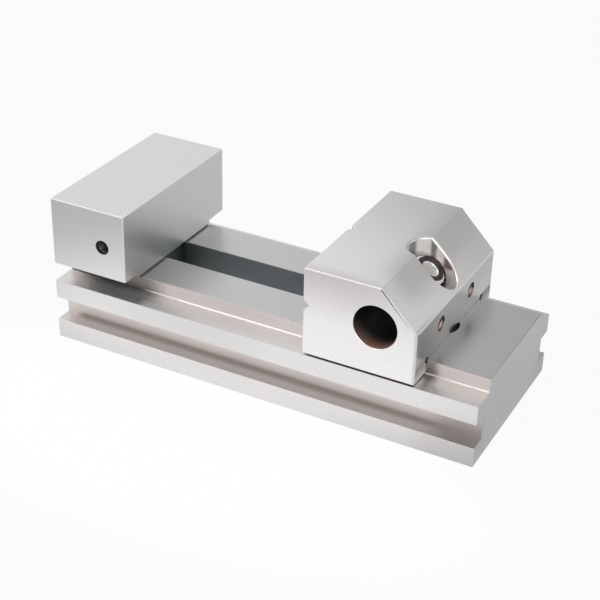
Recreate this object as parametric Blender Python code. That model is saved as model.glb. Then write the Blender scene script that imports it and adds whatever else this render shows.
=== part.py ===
"""Precision grinding vise, modelled as eight separate pieces.

The bed and the fixed jaw are one ground block. The movable jaw is drawn forward and
down by one tilted socket-head screw, which sits on a half-round rocker in the jaw's
cross bore and pulls a round nut into notches under the bed.

Units are metres. X runs along the bed from the fixed jaw to the free end, Y runs
across it and Z is up. The origin is at the centre of the base.
"""

import math

import bmesh
import bpy
from mathutils import Vector

MM = 0.001

# Body and fixed jaw
BODY_WIDTH = 73.0 * MM
FLANGE_HEIGHT = 8.1 * MM
GROOVE_HEIGHT = 9.7 * MM
GROOVE_DEPTH = 6.8 * MM
RIB_HEIGHT = 7.8 * MM
LEDGE_WIDTH = 10.8 * MM
SLIDEWAY_HEIGHT = 5.6 * MM
SLIDEWAY_THICKNESS = 12.2 * MM
JAW_HEIGHT = 30.0 * MM
FIXED_JAW_LENGTH = 33.0 * MM
REAR_BED = 24.5 * MM
FIXED_JAW_UNDERCUT = 2.0 * MM
RELIEF_WIDTH = 1.6 * MM
RELIEF_DEPTH = 1.1 * MM
STOP_HOLE_DIAMETER = 5.6 * MM
STOP_HOLE_DEPTH = 12.0 * MM
STOP_HOLE_SETBACK = 10.0 * MM
STOP_HOLE_DROP = 15.2 * MM

# Movable jaw
OPENING = 76.0 * MM
JAW_LENGTH = 44.5 * MM
JAW_SIDE_INSET = 0.2 * MM
BACK_CHAMFER = 14.4 * MM
SKIRT_CLEARANCE = 1.1 * MM
CORNER_RELIEF_DIAMETER = 2.6 * MM
BORE_DIAMETER = 17.0 * MM
BORE_SETBACK = 16.1 * MM
BORE_RISE = 14.1 * MM
WORK_GROOVE_WIDTH = 4.2 * MM
POCKET_LEAD = 5.6 * MM
POCKET_REAR_WALL = 1.3 * MM
POCKET_SIDE_CLEARANCE = 0.15 * MM
POCKET_FLOOR_DROP = 0.8 * MM

# Draw screw and the pieces on it
HANG_ANGLE = math.radians(57.0)
CLAMP_ANGLE = math.radians(48.0)
SCREW_DIAMETER = 8.0 * MM
THREAD_PITCH = 1.25 * MM
RELEASE_TURNS = 2
HEAD_DIAMETER = 13.0 * MM
HEAD_HEIGHT = 8.0 * MM
HEAD_CHAMFER = 0.9 * MM
SOCKET_SIZE = 6.0 * MM
SOCKET_DEPTH = 4.0 * MM
SCREW_END_INSET = 0.7 * MM
WASHER_DIAMETER = 15.0 * MM
WASHER_THICKNESS = 1.6 * MM
ROCKER_FLAT_DROP = 1.3 * MM
NUT_DIAMETER = 12.0 * MM
NUT_LENGTH = 30.0 * MM
PASSAGE_CLEARANCE = 0.7 * MM

# Set screws that keep the rocker in the middle of its bore
SET_SCREW_DIAMETER = 5.4 * MM
SET_SCREW_LENGTH = 10.0 * MM
SET_SCREW_SPREAD = 14.1 * MM
SET_SCREW_DROP = 5.2 * MM
SET_SCREW_SOCKET = 3.0 * MM
SET_SCREW_SOCKET_DEPTH = 3.0 * MM
DOG_DIAMETER = 4.0 * MM
DOG_LENGTH = 3.4 * MM
DOG_REACH = 2.9 * MM

# Slot, channel and notches under the bed
SLOT_WIDTH = 15.2 * MM
SLOT_CLEARANCE = 0.45 * MM
NUT_END_CLEARANCE = 1.0 * MM
CHANNEL_END_CLEARANCE = 6.0 * MM
CHANNEL_CORNER_RADIUS = 5.0 * MM
NOTCH_LAND = 1.75 * MM
CLOSED_GAP = 0.75 * MM
CLOSE_NOTCHES = 7
OPEN_NOTCHES = 2

# Fits and edges
RUNNING_GAP = 0.3 * MM
EDGE_BREAK = 0.4 * MM
SMALL_BREAK = 0.25 * MM
CUT_MARGIN = 1.0 * MM
BORE_SEGMENTS = 64
HOLE_SEGMENTS = 40
DRILL_POINT_SLOPE = math.tan(math.radians(31.0))
THREAD_RUNOUT = 0.6

# Heights of the body, from the base up
GROOVE_TOP = FLANGE_HEIGHT + GROOVE_HEIGHT
LEDGE_TOP = GROOVE_TOP + RIB_HEIGHT
BED_TOP = LEDGE_TOP + SLIDEWAY_HEIGHT
JAW_TOP = BED_TOP + JAW_HEIGHT
CHANNEL_ROOF = BED_TOP - SLIDEWAY_THICKNESS
SLIDEWAY_WIDTH = BODY_WIDTH - 2 * LEDGE_WIDTH

# Places along the bed
BODY_LENGTH = FIXED_JAW_LENGTH + OPENING + JAW_LENGTH + REAR_BED
FRONT_X = -BODY_LENGTH / 2
REAR_X = BODY_LENGTH / 2
FIXED_FACE_X = FRONT_X + FIXED_JAW_LENGTH
JAW_FACE_X = FIXED_FACE_X + OPENING
JAW_BACK_X = JAW_FACE_X + JAW_LENGTH
BORE_X = JAW_BACK_X - BORE_SETBACK
BORE_Z = BED_TOP + BORE_RISE
BORE_RADIUS = BORE_DIAMETER / 2

# The notches under the bed, one for each place where the nut can hook in
NUT_RADIUS = NUT_DIAMETER / 2
NOTCH_PITCH = (OPENING - CLOSED_GAP) / CLOSE_NOTCHES
CLOSE_TRAVEL = CLOSE_NOTCHES * NOTCH_PITCH
OPEN_TRAVEL = OPEN_NOTCHES * NOTCH_PITCH
NOTCH_OPENING = NOTCH_PITCH - NOTCH_LAND
NOTCH_RADIUS = NUT_RADIUS + RUNNING_GAP
CHANNEL_WIDTH = NUT_LENGTH + 2 * NUT_END_CLEARANCE

# The draw mechanism. Distances along the screw are measured from the bore's axis.
SCREW_RADIUS = SCREW_DIAMETER / 2
NOTCH_CENTRE_DROP = math.sqrt(NOTCH_RADIUS ** 2 - (NOTCH_OPENING / 2) ** 2)
SEAT_Z = CHANNEL_ROOF - NOTCH_CENTRE_DROP
SEATED_REACH = (BORE_Z - SEAT_Z) / math.sin(CLAMP_ANGLE)
NUT_TRAVEL = RELEASE_TURNS * THREAD_PITCH
NUT_REACH = SEATED_REACH + NUT_TRAVEL
SEAT_X = BORE_X - SEATED_REACH * math.cos(CLAMP_ANGLE)
WASHER_BASE = RUNNING_GAP - ROCKER_FLAT_DROP
HEAD_BASE = WASHER_BASE + WASHER_THICKNESS + RUNNING_GAP
HEAD_TOP = HEAD_BASE + HEAD_HEIGHT
SCREW_END = NUT_REACH + NUT_RADIUS - SCREW_END_INSET


def clear_scene():
    """Remove the objects of the start-up scene."""
    for item in list(bpy.data.objects):
        bpy.data.objects.remove(item, do_unlink=True)


def make_material(name, colour, roughness, metallic=1.0):
    """Return a Principled material with the given colour and finish."""
    material = bpy.data.materials.new(name)
    material.use_nodes = True
    shader = material.node_tree.nodes["Principled BSDF"]
    shader.inputs["Base Color"].default_value = (*colour, 1.0)
    shader.inputs["Roughness"].default_value = roughness
    shader.inputs["Metallic"].default_value = metallic
    return material


def add_object(name, bm, material=None):
    """Turn a bmesh into a named object in the scene."""
    bmesh.ops.recalc_face_normals(bm, faces=bm.faces)
    mesh = bpy.data.meshes.new(name)
    bm.to_mesh(mesh)
    bm.free()
    item = bpy.data.objects.new(name, mesh)
    bpy.context.collection.objects.link(item)
    if material is not None:
        mesh.materials.append(material)
    return item


def shade_round(item, angle=35.0):
    """Shade round faces smooth and keep the real edges sharp."""
    item.data.shade_smooth()
    item.data.set_sharp_from_angle(angle=math.radians(angle))


def cut_away(item, name, bm):
    """Subtract a cutter, which stays in the scene as a wire guide."""
    cutter = add_object(name, bm)
    shade_round(cutter)
    cutter.hide_render = True
    cutter.display_type = "WIRE"
    cutter.parent = item.parent
    cut = item.modifiers.new(name, "BOOLEAN")
    cut.operation = "DIFFERENCE"
    cut.solver = "EXACT"
    cut.object = cutter
    return cutter


def prism(outline, axis, low, high):
    """Extrude a flat outline along an axis from low to high.

    The outline's two numbers are (y, z) for an X prism, (x, z) for a Y prism and
    (x, y) for a Z prism.
    """
    place = {
        "X": lambda a, b, along: Vector((along, a, b)),
        "Y": lambda a, b, along: Vector((a, along, b)),
        "Z": lambda a, b, along: Vector((a, b, along)),
    }[axis]
    bm = bmesh.new()
    near = [bm.verts.new(place(a, b, low)) for a, b in outline]
    far = [bm.verts.new(place(a, b, high)) for a, b in outline]
    count = len(outline)
    for i in range(count):
        j = (i + 1) % count
        bm.faces.new((near[i], near[j], far[j], far[i]))
    bm.faces.new(near[::-1])
    bm.faces.new(far)
    return bm


def arc(centre, radius, start, end, steps):
    """Points of a circular arc, both ends included; angles in degrees."""
    points = []
    for i in range(steps + 1):
        angle = math.radians(start + (end - start) * i / steps)
        points.append((centre[0] + radius * math.cos(angle), centre[1] + radius * math.sin(angle)))
    return points


def obround(front, rear, width, steps):
    """Plan outline of a slot with full-radius ends, centred on y = 0."""
    radius = width / 2
    outline = arc((rear - radius, 0.0), radius, -90, 90, steps)
    outline += arc((front + radius, 0.0), radius, 90, 270, steps)
    return outline


def turned(profile, sides):
    """Revolve a closed (radius, z) profile about Z. Points on the axis are poles."""
    bm = bmesh.new()
    rings = []
    for radius, z in profile:
        if radius == 0.0:
            rings.append([bm.verts.new((0.0, 0.0, z))])
            continue
        ring = []
        for i in range(sides):
            angle = 2 * math.pi * i / sides
            ring.append(bm.verts.new((radius * math.cos(angle), radius * math.sin(angle), z)))
        rings.append(ring)
    count = len(rings)
    for k in range(count):
        lower, upper = rings[k], rings[(k + 1) % count]
        if len(lower) == 1 and len(upper) == 1:
            continue
        for i in range(sides):
            j = (i + 1) % sides
            corners = [lower[i % len(lower)], lower[j % len(lower)],
                       upper[j % len(upper)], upper[i % len(upper)]]
            face = list(dict.fromkeys(corners))
            bm.faces.new(face)
    return bm


def along(bm, direction, origin=(0.0, 0.0, 0.0)):
    """Turn a bmesh so that its +Z points along a direction, then move it."""
    turn = Vector((0.0, 0.0, 1.0)).rotation_difference(Vector(direction))
    bmesh.ops.transform(bm, matrix=turn.to_matrix().to_4x4(), verts=bm.verts)
    bmesh.ops.translate(bm, vec=Vector(origin), verts=bm.verts)
    return bm


def break_edges(bm, width):
    """Chamfer every outside edge by the given width."""
    bmesh.ops.recalc_face_normals(bm, faces=bm.faces)
    edges = [e for e in bm.edges if e.calc_face_angle_signed(0.0) > math.radians(30)]
    bmesh.ops.bevel(bm, geom=edges, offset=width, segments=1, affect="EDGES", clamp_overlap=True)


def hexagon_cutter(size, depth, top):
    """Hex key socket: flats `size` apart, with a drill-point floor."""
    corner = size / 2 / math.cos(math.pi / 6)
    tip = top - depth - corner * DRILL_POINT_SLOPE
    profile = [(0.0, tip), (corner, top - depth), (corner, top + CUT_MARGIN), (0.0, top + CUT_MARGIN)]
    return turned(profile, 6)


def bed_outline():
    """Cross-section of the bed below the slideway's top, as (y, z) points."""
    half = BODY_WIDTH / 2
    web = half - GROOVE_DEPTH
    side = SLIDEWAY_WIDTH / 2
    right = [
        (half, 0.0),
        (half, FLANGE_HEIGHT),
        (web, FLANGE_HEIGHT),
        (web, GROOVE_TOP),
        (half, GROOVE_TOP),
        (half, LEDGE_TOP),
        (side, LEDGE_TOP),
        (side, BED_TOP),
    ]
    left = [(-y, z) for y, z in reversed(right)]
    return right + left


def fixed_jaw_outline():
    """Cross-section of the fixed jaw above the slideway, as (y, z) points."""
    half = BODY_WIDTH / 2
    side = SLIDEWAY_WIDTH / 2
    shoulder = BED_TOP + FIXED_JAW_UNDERCUT
    right = [(side, BED_TOP), (side, shoulder), (half, shoulder), (half, JAW_TOP)]
    left = [(-y, z) for y, z in reversed(right)]
    return right + left


def body_block():
    """Bed and fixed jaw as one closed block with broken edges.

    The bed's section runs the whole length. The jaw's section stands on it as far
    as the clamping face, so the two share one flat end and flush neck sides. One
    more section, under the movable jaw's face, ends the stretch of slideway that is
    free to carry the work.
    """
    bed = bed_outline()
    jaw = fixed_jaw_outline()
    bm = bmesh.new()
    front, face = {}, {}
    for y, z in bed + jaw[1:-1]:
        front[y, z] = bm.verts.new((FRONT_X, y, z))
        face[y, z] = bm.verts.new((FIXED_FACE_X, y, z))
    stretch = {point: bm.verts.new((JAW_FACE_X, *point)) for point in bed}
    rear = {point: bm.verts.new((REAR_X, *point)) for point in bed}

    top_corner = bed.index(jaw[0])
    whole = bed[:top_corner] + jaw + bed[top_corner + 2:]
    for a, b in zip(whole, whole[1:] + whole[:1]):
        bm.faces.new((front[a], front[b], face[b], face[a]))
    for a, b in zip(bed, bed[1:] + bed[:1]):
        bm.faces.new((face[a], face[b], stretch[b], stretch[a]))
        bm.faces.new((stretch[a], stretch[b], rear[b], rear[a]))
    bm.faces.new([front[p] for p in whole])
    bm.faces.new([face[p] for p in jaw])
    bm.faces.new([rear[p] for p in bed])
    break_edges(bm, EDGE_BREAK)
    return bm


def screw_overhang(reach_z, angle):
    """How far the tilted screw's axis lies in front of the bore at a height."""
    return (BORE_Z - reach_z) / math.tan(angle)


def slot_rear_x():
    """End of the bed slot: just behind the screw when the jaw is fully open."""
    axis_x = BORE_X + OPEN_TRAVEL - screw_overhang(BED_TOP, HANG_ANGLE)
    return axis_x + SCREW_RADIUS / math.sin(HANG_ANGLE) + SLOT_CLEARANCE


def channel_outline():
    """Side view of the channel under the bed, notched roof included, as (x, z)."""
    tip_x = BORE_X - CLOSE_TRAVEL - SCREW_END * math.cos(CLAMP_ANGLE)
    front = tip_x - SCREW_RADIUS * math.sin(CLAMP_ANGLE) - CHANNEL_END_CLEARANCE
    rear = slot_rear_x() + CHANNEL_END_CLEARANCE / 2
    half_angle = math.degrees(math.asin(NOTCH_OPENING / 2 / NOTCH_RADIUS))
    outline = [(rear, -CUT_MARGIN), (front, -CUT_MARGIN), (front, CHANNEL_ROOF)]
    for k in range(-CLOSE_NOTCHES, OPEN_NOTCHES + 1):
        centre = (SEAT_X + k * NOTCH_PITCH, SEAT_Z)
        outline += arc(centre, NOTCH_RADIUS, 90 + half_angle, 90 - half_angle, 10)
    outline.append((rear, CHANNEL_ROOF))
    return outline


def channel_cutter():
    """Channel from below, with the cutter's radius in its four upright corners."""
    bm = prism(channel_outline(), "Y", -CHANNEL_WIDTH / 2, CHANNEL_WIDTH / 2)
    lows = min(v.co.x for v in bm.verts), max(v.co.x for v in bm.verts)
    uprights = []
    for edge in bm.edges:
        a, b = edge.verts
        upright = abs(a.co.x - b.co.x) < 1e-6 and abs(a.co.y - b.co.y) < 1e-6
        if upright and min(abs(a.co.x - x) for x in lows) < 1e-6:
            uprights.append(edge)
    bmesh.ops.bevel(bm, geom=uprights, offset=CHANNEL_CORNER_RADIUS, segments=6, profile=0.5, affect="EDGES")
    return bm


def make_body(material):
    """Vise body: block, foot relief, bed slot, notched channel and stop hole."""
    body = add_object("vise_body", body_block(), material)

    relief = [
        (FIXED_FACE_X - RELIEF_WIDTH / 2, BED_TOP - RELIEF_DEPTH),
        (FIXED_FACE_X + RELIEF_WIDTH / 2, BED_TOP - RELIEF_DEPTH),
        (FIXED_FACE_X + RELIEF_WIDTH / 2, BED_TOP + RELIEF_DEPTH),
        (FIXED_FACE_X - RELIEF_WIDTH / 2, BED_TOP + RELIEF_DEPTH),
    ]
    cut_away(body, "relief_cutter", prism(relief, "Y", -BODY_WIDTH, BODY_WIDTH))

    # The slot's front end lies under the fixed jaw, so only its straight sides show.
    slot_front = FIXED_FACE_X + RELIEF_WIDTH / 2 - SLOT_WIDTH / 2
    slot = obround(slot_front, slot_rear_x(), SLOT_WIDTH, 24)
    slot_top = BED_TOP + RELIEF_DEPTH / 2
    cut_away(body, "slot_cutter", prism(slot, "Z", CHANNEL_ROOF - 3 * CUT_MARGIN, slot_top))
    cut_away(body, "channel_cutter", channel_cutter())

    stop_x = FIXED_FACE_X - STOP_HOLE_SETBACK
    stop_z = JAW_TOP - STOP_HOLE_DROP
    radius = STOP_HOLE_DIAMETER / 2
    depth = STOP_HOLE_DEPTH
    mouth = radius + EDGE_BREAK
    profile = [
        (0.0, -depth - radius * DRILL_POINT_SLOPE),
        (radius, -depth),
        (radius, -EDGE_BREAK),
        (mouth, 0.0),
        (mouth + CUT_MARGIN, CUT_MARGIN),
        (0.0, CUT_MARGIN),
    ]
    hole = along(turned(profile, HOLE_SEGMENTS), (0, -1, 0), (stop_x, -BODY_WIDTH / 2, stop_z))
    cut_away(body, "stop_hole_cutter", hole)
    return body


def jaw_outline():
    """Side view of the movable jaw, as (x, z) points."""
    return [
        (JAW_FACE_X, LEDGE_TOP + SKIRT_CLEARANCE),
        (JAW_BACK_X, LEDGE_TOP + SKIRT_CLEARANCE),
        (JAW_BACK_X, JAW_TOP - BACK_CHAMFER),
        (JAW_BACK_X - BACK_CHAMFER, JAW_TOP),
        (JAW_FACE_X, JAW_TOP),
    ]


def jaw_block():
    """Movable jaw with its skirts, before the bores and pockets are cut."""
    half = BODY_WIDTH / 2 - JAW_SIDE_INSET
    bm = prism(jaw_outline(), "Y", -half, half)
    break_edges(bm, EDGE_BREAK)
    return bm


def slideway_cutter():
    """Space for the slideway under the jaw, with a round relief in each corner."""
    side = SLIDEWAY_WIDTH / 2 + RUNNING_GAP
    roof = BED_TOP + RUNNING_GAP
    radius = CORNER_RELIEF_DIAMETER / 2
    right = [(side, LEDGE_TOP - CUT_MARGIN)] + arc((side, roof), radius, -90, 180, 18)
    left = [(-y, z) for y, z in reversed(right)]
    return prism(right + left, "X", JAW_FACE_X - CUT_MARGIN, JAW_BACK_X + CUT_MARGIN)


def passage_cutter():
    """Fan-shaped way for the screw, from the cross bore out under the jaw."""
    clear = SCREW_RADIUS + PASSAGE_CLEARANCE
    start = BORE_RADIUS / 2
    end = (BORE_RISE + SLIDEWAY_HEIGHT) / math.sin(CLAMP_ANGLE)
    outline = []
    for angle, side, reaches in ((CLAMP_ANGLE, -1, (start, end)), (HANG_ANGLE, 1, (end, start))):
        for reach in reaches:
            x = BORE_X - reach * math.cos(angle) + side * clear * math.sin(angle)
            z = BORE_Z - reach * math.sin(angle) - side * clear * math.cos(angle)
            outline.append((x, z))
    return prism(outline, "Y", -clear, clear)


def work_groove(axis):
    """V-groove for round work: across the face along Y, or up it along Z."""
    depth = WORK_GROOVE_WIDTH / 2
    mouth = depth + CUT_MARGIN
    apex = JAW_FACE_X + depth
    outside = JAW_FACE_X - CUT_MARGIN
    if axis == "Y":
        middle = BED_TOP + JAW_HEIGHT / 2
        outline = [(apex, middle), (outside, middle + mouth), (outside, middle - mouth)]
        return prism(outline, "Y", -BODY_WIDTH, BODY_WIDTH)
    outline = [(apex, 0.0), (outside, mouth), (outside, -mouth)]
    return prism(outline, "Z", BED_TOP - CUT_MARGIN, JAW_TOP + CUT_MARGIN)


def make_movable_jaw(material, carriage):
    """Movable jaw with cross bore, screw pocket, work grooves and set-screw holes."""
    jaw = add_object("movable_jaw", jaw_block(), material)
    jaw.parent = carriage
    cut_away(jaw, "slideway_cutter", slideway_cutter())
    cut_away(jaw, "work_groove_across_cutter", work_groove("Y"))
    cut_away(jaw, "work_groove_upright_cutter", work_groove("Z"))

    bore = turned([(0.0, -BODY_WIDTH), (BORE_RADIUS, -BODY_WIDTH), (BORE_RADIUS, BODY_WIDTH), (0.0, BODY_WIDTH)],
                  BORE_SEGMENTS)
    cut_away(jaw, "bore_cutter", along(bore, (0, 1, 0), (BORE_X, 0, BORE_Z)))
    cut_away(jaw, "passage_cutter", passage_cutter())

    pocket_front = JAW_BACK_X - BACK_CHAMFER - POCKET_LEAD
    pocket_rear = JAW_BACK_X - POCKET_REAR_WALL
    pocket_width = WASHER_DIAMETER + 2 * POCKET_SIDE_CLEARANCE
    pocket = obround(pocket_front, pocket_rear, pocket_width, 28)
    pocket_floor = BORE_Z - POCKET_FLOOR_DROP
    cut_away(jaw, "pocket_cutter", prism(pocket, "Z", pocket_floor, JAW_TOP + CUT_MARGIN))

    radius = SET_SCREW_DIAMETER / 2 + RUNNING_GAP
    mouth = radius + EDGE_BREAK
    for side, label in ((-1, "near"), (1, "far")):
        profile = [
            (0.0, BORE_X - JAW_BACK_X),
            (radius, BORE_X - JAW_BACK_X),
            (radius, -EDGE_BREAK),
            (mouth, 0.0),
            (mouth + CUT_MARGIN, CUT_MARGIN),
            (0.0, CUT_MARGIN),
        ]
        place = (JAW_BACK_X, side * SET_SCREW_SPREAD, BORE_Z - SET_SCREW_DROP)
        cut_away(jaw, f"set_screw_hole_{label}_cutter", along(turned(profile, HOLE_SEGMENTS), (1, 0, 0), place))
    return jaw


def make_rocker(material, pivot):
    """Half-round seat: its round side rests in the bore, its flat carries the screw."""
    radius = BORE_RADIUS - RUNNING_GAP
    half_length = SET_SCREW_SPREAD - DOG_DIAMETER / 2 - RUNNING_GAP
    tilt = math.degrees(math.asin(ROCKER_FLAT_DROP / radius))
    outline = arc((0.0, 0.0), radius, 180 + tilt, 360 - tilt, BORE_SEGMENTS // 2)
    bm = prism(outline, "Y", -half_length, half_length)
    rocker = add_object("swivel_rocker", bm, material)
    rocker.parent = pivot
    hole_radius = SCREW_RADIUS + PASSAGE_CLEARANCE
    hole = turned([(0.0, -BORE_DIAMETER), (hole_radius, -BORE_DIAMETER), (hole_radius, BORE_RADIUS),
                   (0.0, BORE_RADIUS)], HOLE_SEGMENTS)
    cut_away(rocker, "rocker_hole_cutter", hole)
    shade_round(rocker)
    return rocker


def make_washer(material, pivot):
    """Hardened washer between the screw head and the rocker's flat."""
    inner = SCREW_RADIUS + RUNNING_GAP
    outer = WASHER_DIAMETER / 2
    base = WASHER_BASE
    top = base + WASHER_THICKNESS
    profile = [
        (inner, base),
        (outer - SMALL_BREAK, base),
        (outer, base + SMALL_BREAK),
        (outer, top - SMALL_BREAK),
        (outer - SMALL_BREAK, top),
        (inner, top),
    ]
    washer = add_object("seat_washer", turned(profile, HOLE_SEGMENTS), material)
    washer.parent = pivot
    shade_round(washer)
    return washer


def make_screw(material, pivot):
    """Socket-head cap screw, with its axis on the pivot's Z."""
    end_break = THREAD_PITCH * THREAD_RUNOUT
    profile = [
        (0.0, -SCREW_END),
        (SCREW_RADIUS - end_break, -SCREW_END),
        (SCREW_RADIUS, -SCREW_END + end_break),
        (SCREW_RADIUS, HEAD_BASE),
        (HEAD_DIAMETER / 2 - SMALL_BREAK, HEAD_BASE),
        (HEAD_DIAMETER / 2, HEAD_BASE + SMALL_BREAK),
        (HEAD_DIAMETER / 2, HEAD_TOP - HEAD_CHAMFER),
        (HEAD_DIAMETER / 2 - HEAD_CHAMFER, HEAD_TOP),
        (0.0, HEAD_TOP),
    ]
    screw = add_object("draw_screw", turned(profile, HOLE_SEGMENTS), material)
    screw.parent = pivot
    cut_away(screw, "draw_screw_socket_cutter", hexagon_cutter(SOCKET_SIZE, SOCKET_DEPTH, HEAD_TOP))
    shade_round(screw)
    return screw


def make_nut(material, pivot):
    """Round cross nut: it lies across the channel and rides on the screw."""
    half = NUT_LENGTH / 2
    profile = [
        (0.0, -half),
        (NUT_RADIUS - 2 * EDGE_BREAK, -half),
        (NUT_RADIUS, -half + 2 * EDGE_BREAK),
        (NUT_RADIUS, half - 2 * EDGE_BREAK),
        (NUT_RADIUS - 2 * EDGE_BREAK, half),
        (0.0, half),
    ]
    nut = add_object("draw_nut", along(turned(profile, BORE_SEGMENTS), (0, 1, 0)), material)
    nut.parent = pivot
    nut.location.z = -NUT_REACH
    hole_radius = SCREW_RADIUS + RUNNING_GAP
    hole = turned([(0.0, -NUT_DIAMETER), (hole_radius, -NUT_DIAMETER), (hole_radius, NUT_DIAMETER),
                   (0.0, NUT_DIAMETER)], HOLE_SEGMENTS)
    cutter = cut_away(nut, "nut_hole_cutter", hole)
    cutter.location = nut.location
    shade_round(nut)
    return nut


def make_set_screw(name, material, side, carriage):
    """Dog-point set screw, whose tip stands in the bore beside the rocker's end."""
    radius = SET_SCREW_DIAMETER / 2
    dog = DOG_DIAMETER / 2
    profile = [
        (0.0, 0.0),
        (dog - SMALL_BREAK, 0.0),
        (dog, SMALL_BREAK),
        (dog, DOG_LENGTH),
        (radius, DOG_LENGTH + radius - dog),
        (radius, SET_SCREW_LENGTH - SMALL_BREAK),
        (radius - SMALL_BREAK, SET_SCREW_LENGTH),
        (0.0, SET_SCREW_LENGTH),
    ]
    screw = add_object(name, turned(profile, HOLE_SEGMENTS), material)
    bore_wall = BORE_X + math.sqrt(BORE_RADIUS ** 2 - SET_SCREW_DROP ** 2)
    screw.parent = carriage
    screw.location = (bore_wall - DOG_REACH, side * SET_SCREW_SPREAD, BORE_Z - SET_SCREW_DROP)
    screw.rotation_euler.y = math.radians(90)
    socket = hexagon_cutter(SET_SCREW_SOCKET, SET_SCREW_SOCKET_DEPTH, SET_SCREW_LENGTH)
    cutter = cut_away(screw, f"{name}_socket_cutter", socket)
    cutter.location = screw.location
    cutter.rotation_euler = screw.rotation_euler
    shade_round(screw)
    return screw


def add_empty(name, parent=None):
    """Add an empty that carries other pieces."""
    empty = bpy.data.objects.new(name, None)
    empty.parent = parent
    bpy.context.collection.objects.link(empty)
    return empty


def main():
    """Build the whole vise with the jaw open and the screw hanging loose."""
    clear_scene()
    ground_steel = make_material("ground_steel", (0.74, 0.73, 0.72), 0.24)
    jaw_steel = make_material("ground_jaw_steel", (0.78, 0.77, 0.76), 0.22)
    turned_steel = make_material("turned_steel", (0.55, 0.54, 0.53), 0.35)
    washer_steel = make_material("hardened_washer_steel", (0.66, 0.65, 0.63), 0.3)
    black_oxide = make_material("black_oxide_steel", (0.06, 0.058, 0.055), 0.42)
    set_screw_steel = make_material("set_screw_steel", (0.42, 0.36, 0.31), 0.4)

    make_body(ground_steel)

    carriage = add_empty("jaw_carriage")
    make_movable_jaw(jaw_steel, carriage)
    make_set_screw("rocker_set_screw_near", set_screw_steel, -1, carriage)
    make_set_screw("rocker_set_screw_far", set_screw_steel, 1, carriage)

    pivot = add_empty("rocker_pivot", carriage)
    pivot.location = (BORE_X, 0.0, BORE_Z)
    pivot.rotation_euler.y = math.pi / 2 - HANG_ANGLE
    make_rocker(turned_steel, pivot)
    make_washer(washer_steel, pivot)
    make_screw(black_oxide, pivot)
    make_nut(turned_steel, pivot)


main()
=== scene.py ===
"""Precision grinding vise: its finished surfaces, a plain studio and the camera.

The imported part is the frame. Every rigid piece of it is made again here with eased
edges, threads, sockets and ground or turned finishes, in the same place and within the
same sizes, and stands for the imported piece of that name.

Units are metres. X runs along the bed from the fixed jaw to the free end, Y across it
and Z up. The origin is at the centre of the base.
"""

import logging
import math
from dataclasses import dataclass
from enum import Enum
from typing import Callable, Optional, Sequence

import bmesh
import bpy
from mathutils import Matrix, Vector

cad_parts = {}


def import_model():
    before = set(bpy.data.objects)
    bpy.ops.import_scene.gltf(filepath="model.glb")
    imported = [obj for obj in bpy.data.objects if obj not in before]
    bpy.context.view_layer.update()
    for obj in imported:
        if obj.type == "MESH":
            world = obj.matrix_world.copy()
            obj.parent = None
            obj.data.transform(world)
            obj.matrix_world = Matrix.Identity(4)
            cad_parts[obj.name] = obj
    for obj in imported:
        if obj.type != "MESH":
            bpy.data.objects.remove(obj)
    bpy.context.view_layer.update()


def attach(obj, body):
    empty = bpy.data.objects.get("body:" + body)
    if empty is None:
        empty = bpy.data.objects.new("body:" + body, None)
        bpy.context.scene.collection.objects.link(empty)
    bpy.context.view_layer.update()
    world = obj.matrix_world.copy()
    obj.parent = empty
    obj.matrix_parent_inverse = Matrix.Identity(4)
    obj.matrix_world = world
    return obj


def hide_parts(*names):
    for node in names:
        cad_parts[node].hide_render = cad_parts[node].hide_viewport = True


MM = 0.001
TOUCH = 0.05 * MM  # how near a face or an edge lies to a plane that it is on
BESIDE = 0.1 * MM  # the same for a looser fit
CUT_REACH = 0.05  # runs past both sides of the vise
DRILL_SLOPE = math.tan(math.radians(31.0))
DRILL_SIDES = 64
SLEEVE_GAP = 0.005 * MM
WELD = 0.002 * MM  # closer corners become one
FLAT_ANGLE = math.radians(0.4)  # faces that differ less become one
EDGE_ANGLE = math.radians(29.0)  # sharper edges are eased
SMOOTH_ANGLE = math.radians(40.0)  # sharper edges stay sharp in the shading
NOISE_SPAN = (0.3, 0.7)  # where nearly all of a noise's values lie
log = logging.getLogger("grinding_vise")

Point = tuple[float, float]
Place = tuple[float, float, float]
Colour = tuple[float, float, float]
Socket = bpy.types.NodeSocket
Item = bpy.types.Object
Mesh = bmesh.types.BMesh


def in_metres(*millimetres: float) -> tuple[float, ...]:
    """Turn millimetres into metres."""
    return tuple(number * MM for number in millimetres)


class Axis(Enum):
    """Directions that a bar is extruded along, or a piece is parted or turned about."""

    X = 0
    Y = 1
    Z = 2


class Grain(Enum):
    """How the tool left its marks on a surface."""

    GROUND = "straight lines from the grinding wheel"
    TURNED = "rings round the piece's own axis"
    PLAIN = "no direction, as a dipped or oiled coat leaves it"


@dataclass(frozen=True)
class Datum:
    """Sizes and places that several pieces share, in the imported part's frame."""

    half_length: float = 89.0 * MM
    half_width: float = 36.5 * MM
    ledge_top: float = 25.6 * MM
    bed_top: float = 31.2 * MM
    jaw_top: float = 61.2 * MM
    slideway_half: float = 25.7 * MM
    fixed_face: float = -56.0 * MM
    jaw_face: float = 20.0 * MM
    jaw_back: float = 64.5 * MM
    bore_x: float = 48.4 * MM
    bore_z: float = 45.3 * MM
    bore_radius: float = 8.5 * MM
    hang_angle: float = math.radians(57.0)
    running_gap: float = 0.3 * MM
    hole_spread: float = 14.1 * MM
    hole_drop: float = 5.2 * MM

    def screw_place(self) -> Matrix:
        """Frame of the pieces on the screw: origin on the bore, Z up the screw."""
        tilt = Matrix.Rotation(math.pi / 2 - self.hang_angle, 4, "Y")
        return Matrix.Translation((self.bore_x, 0.0, self.bore_z)) @ tilt


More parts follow.
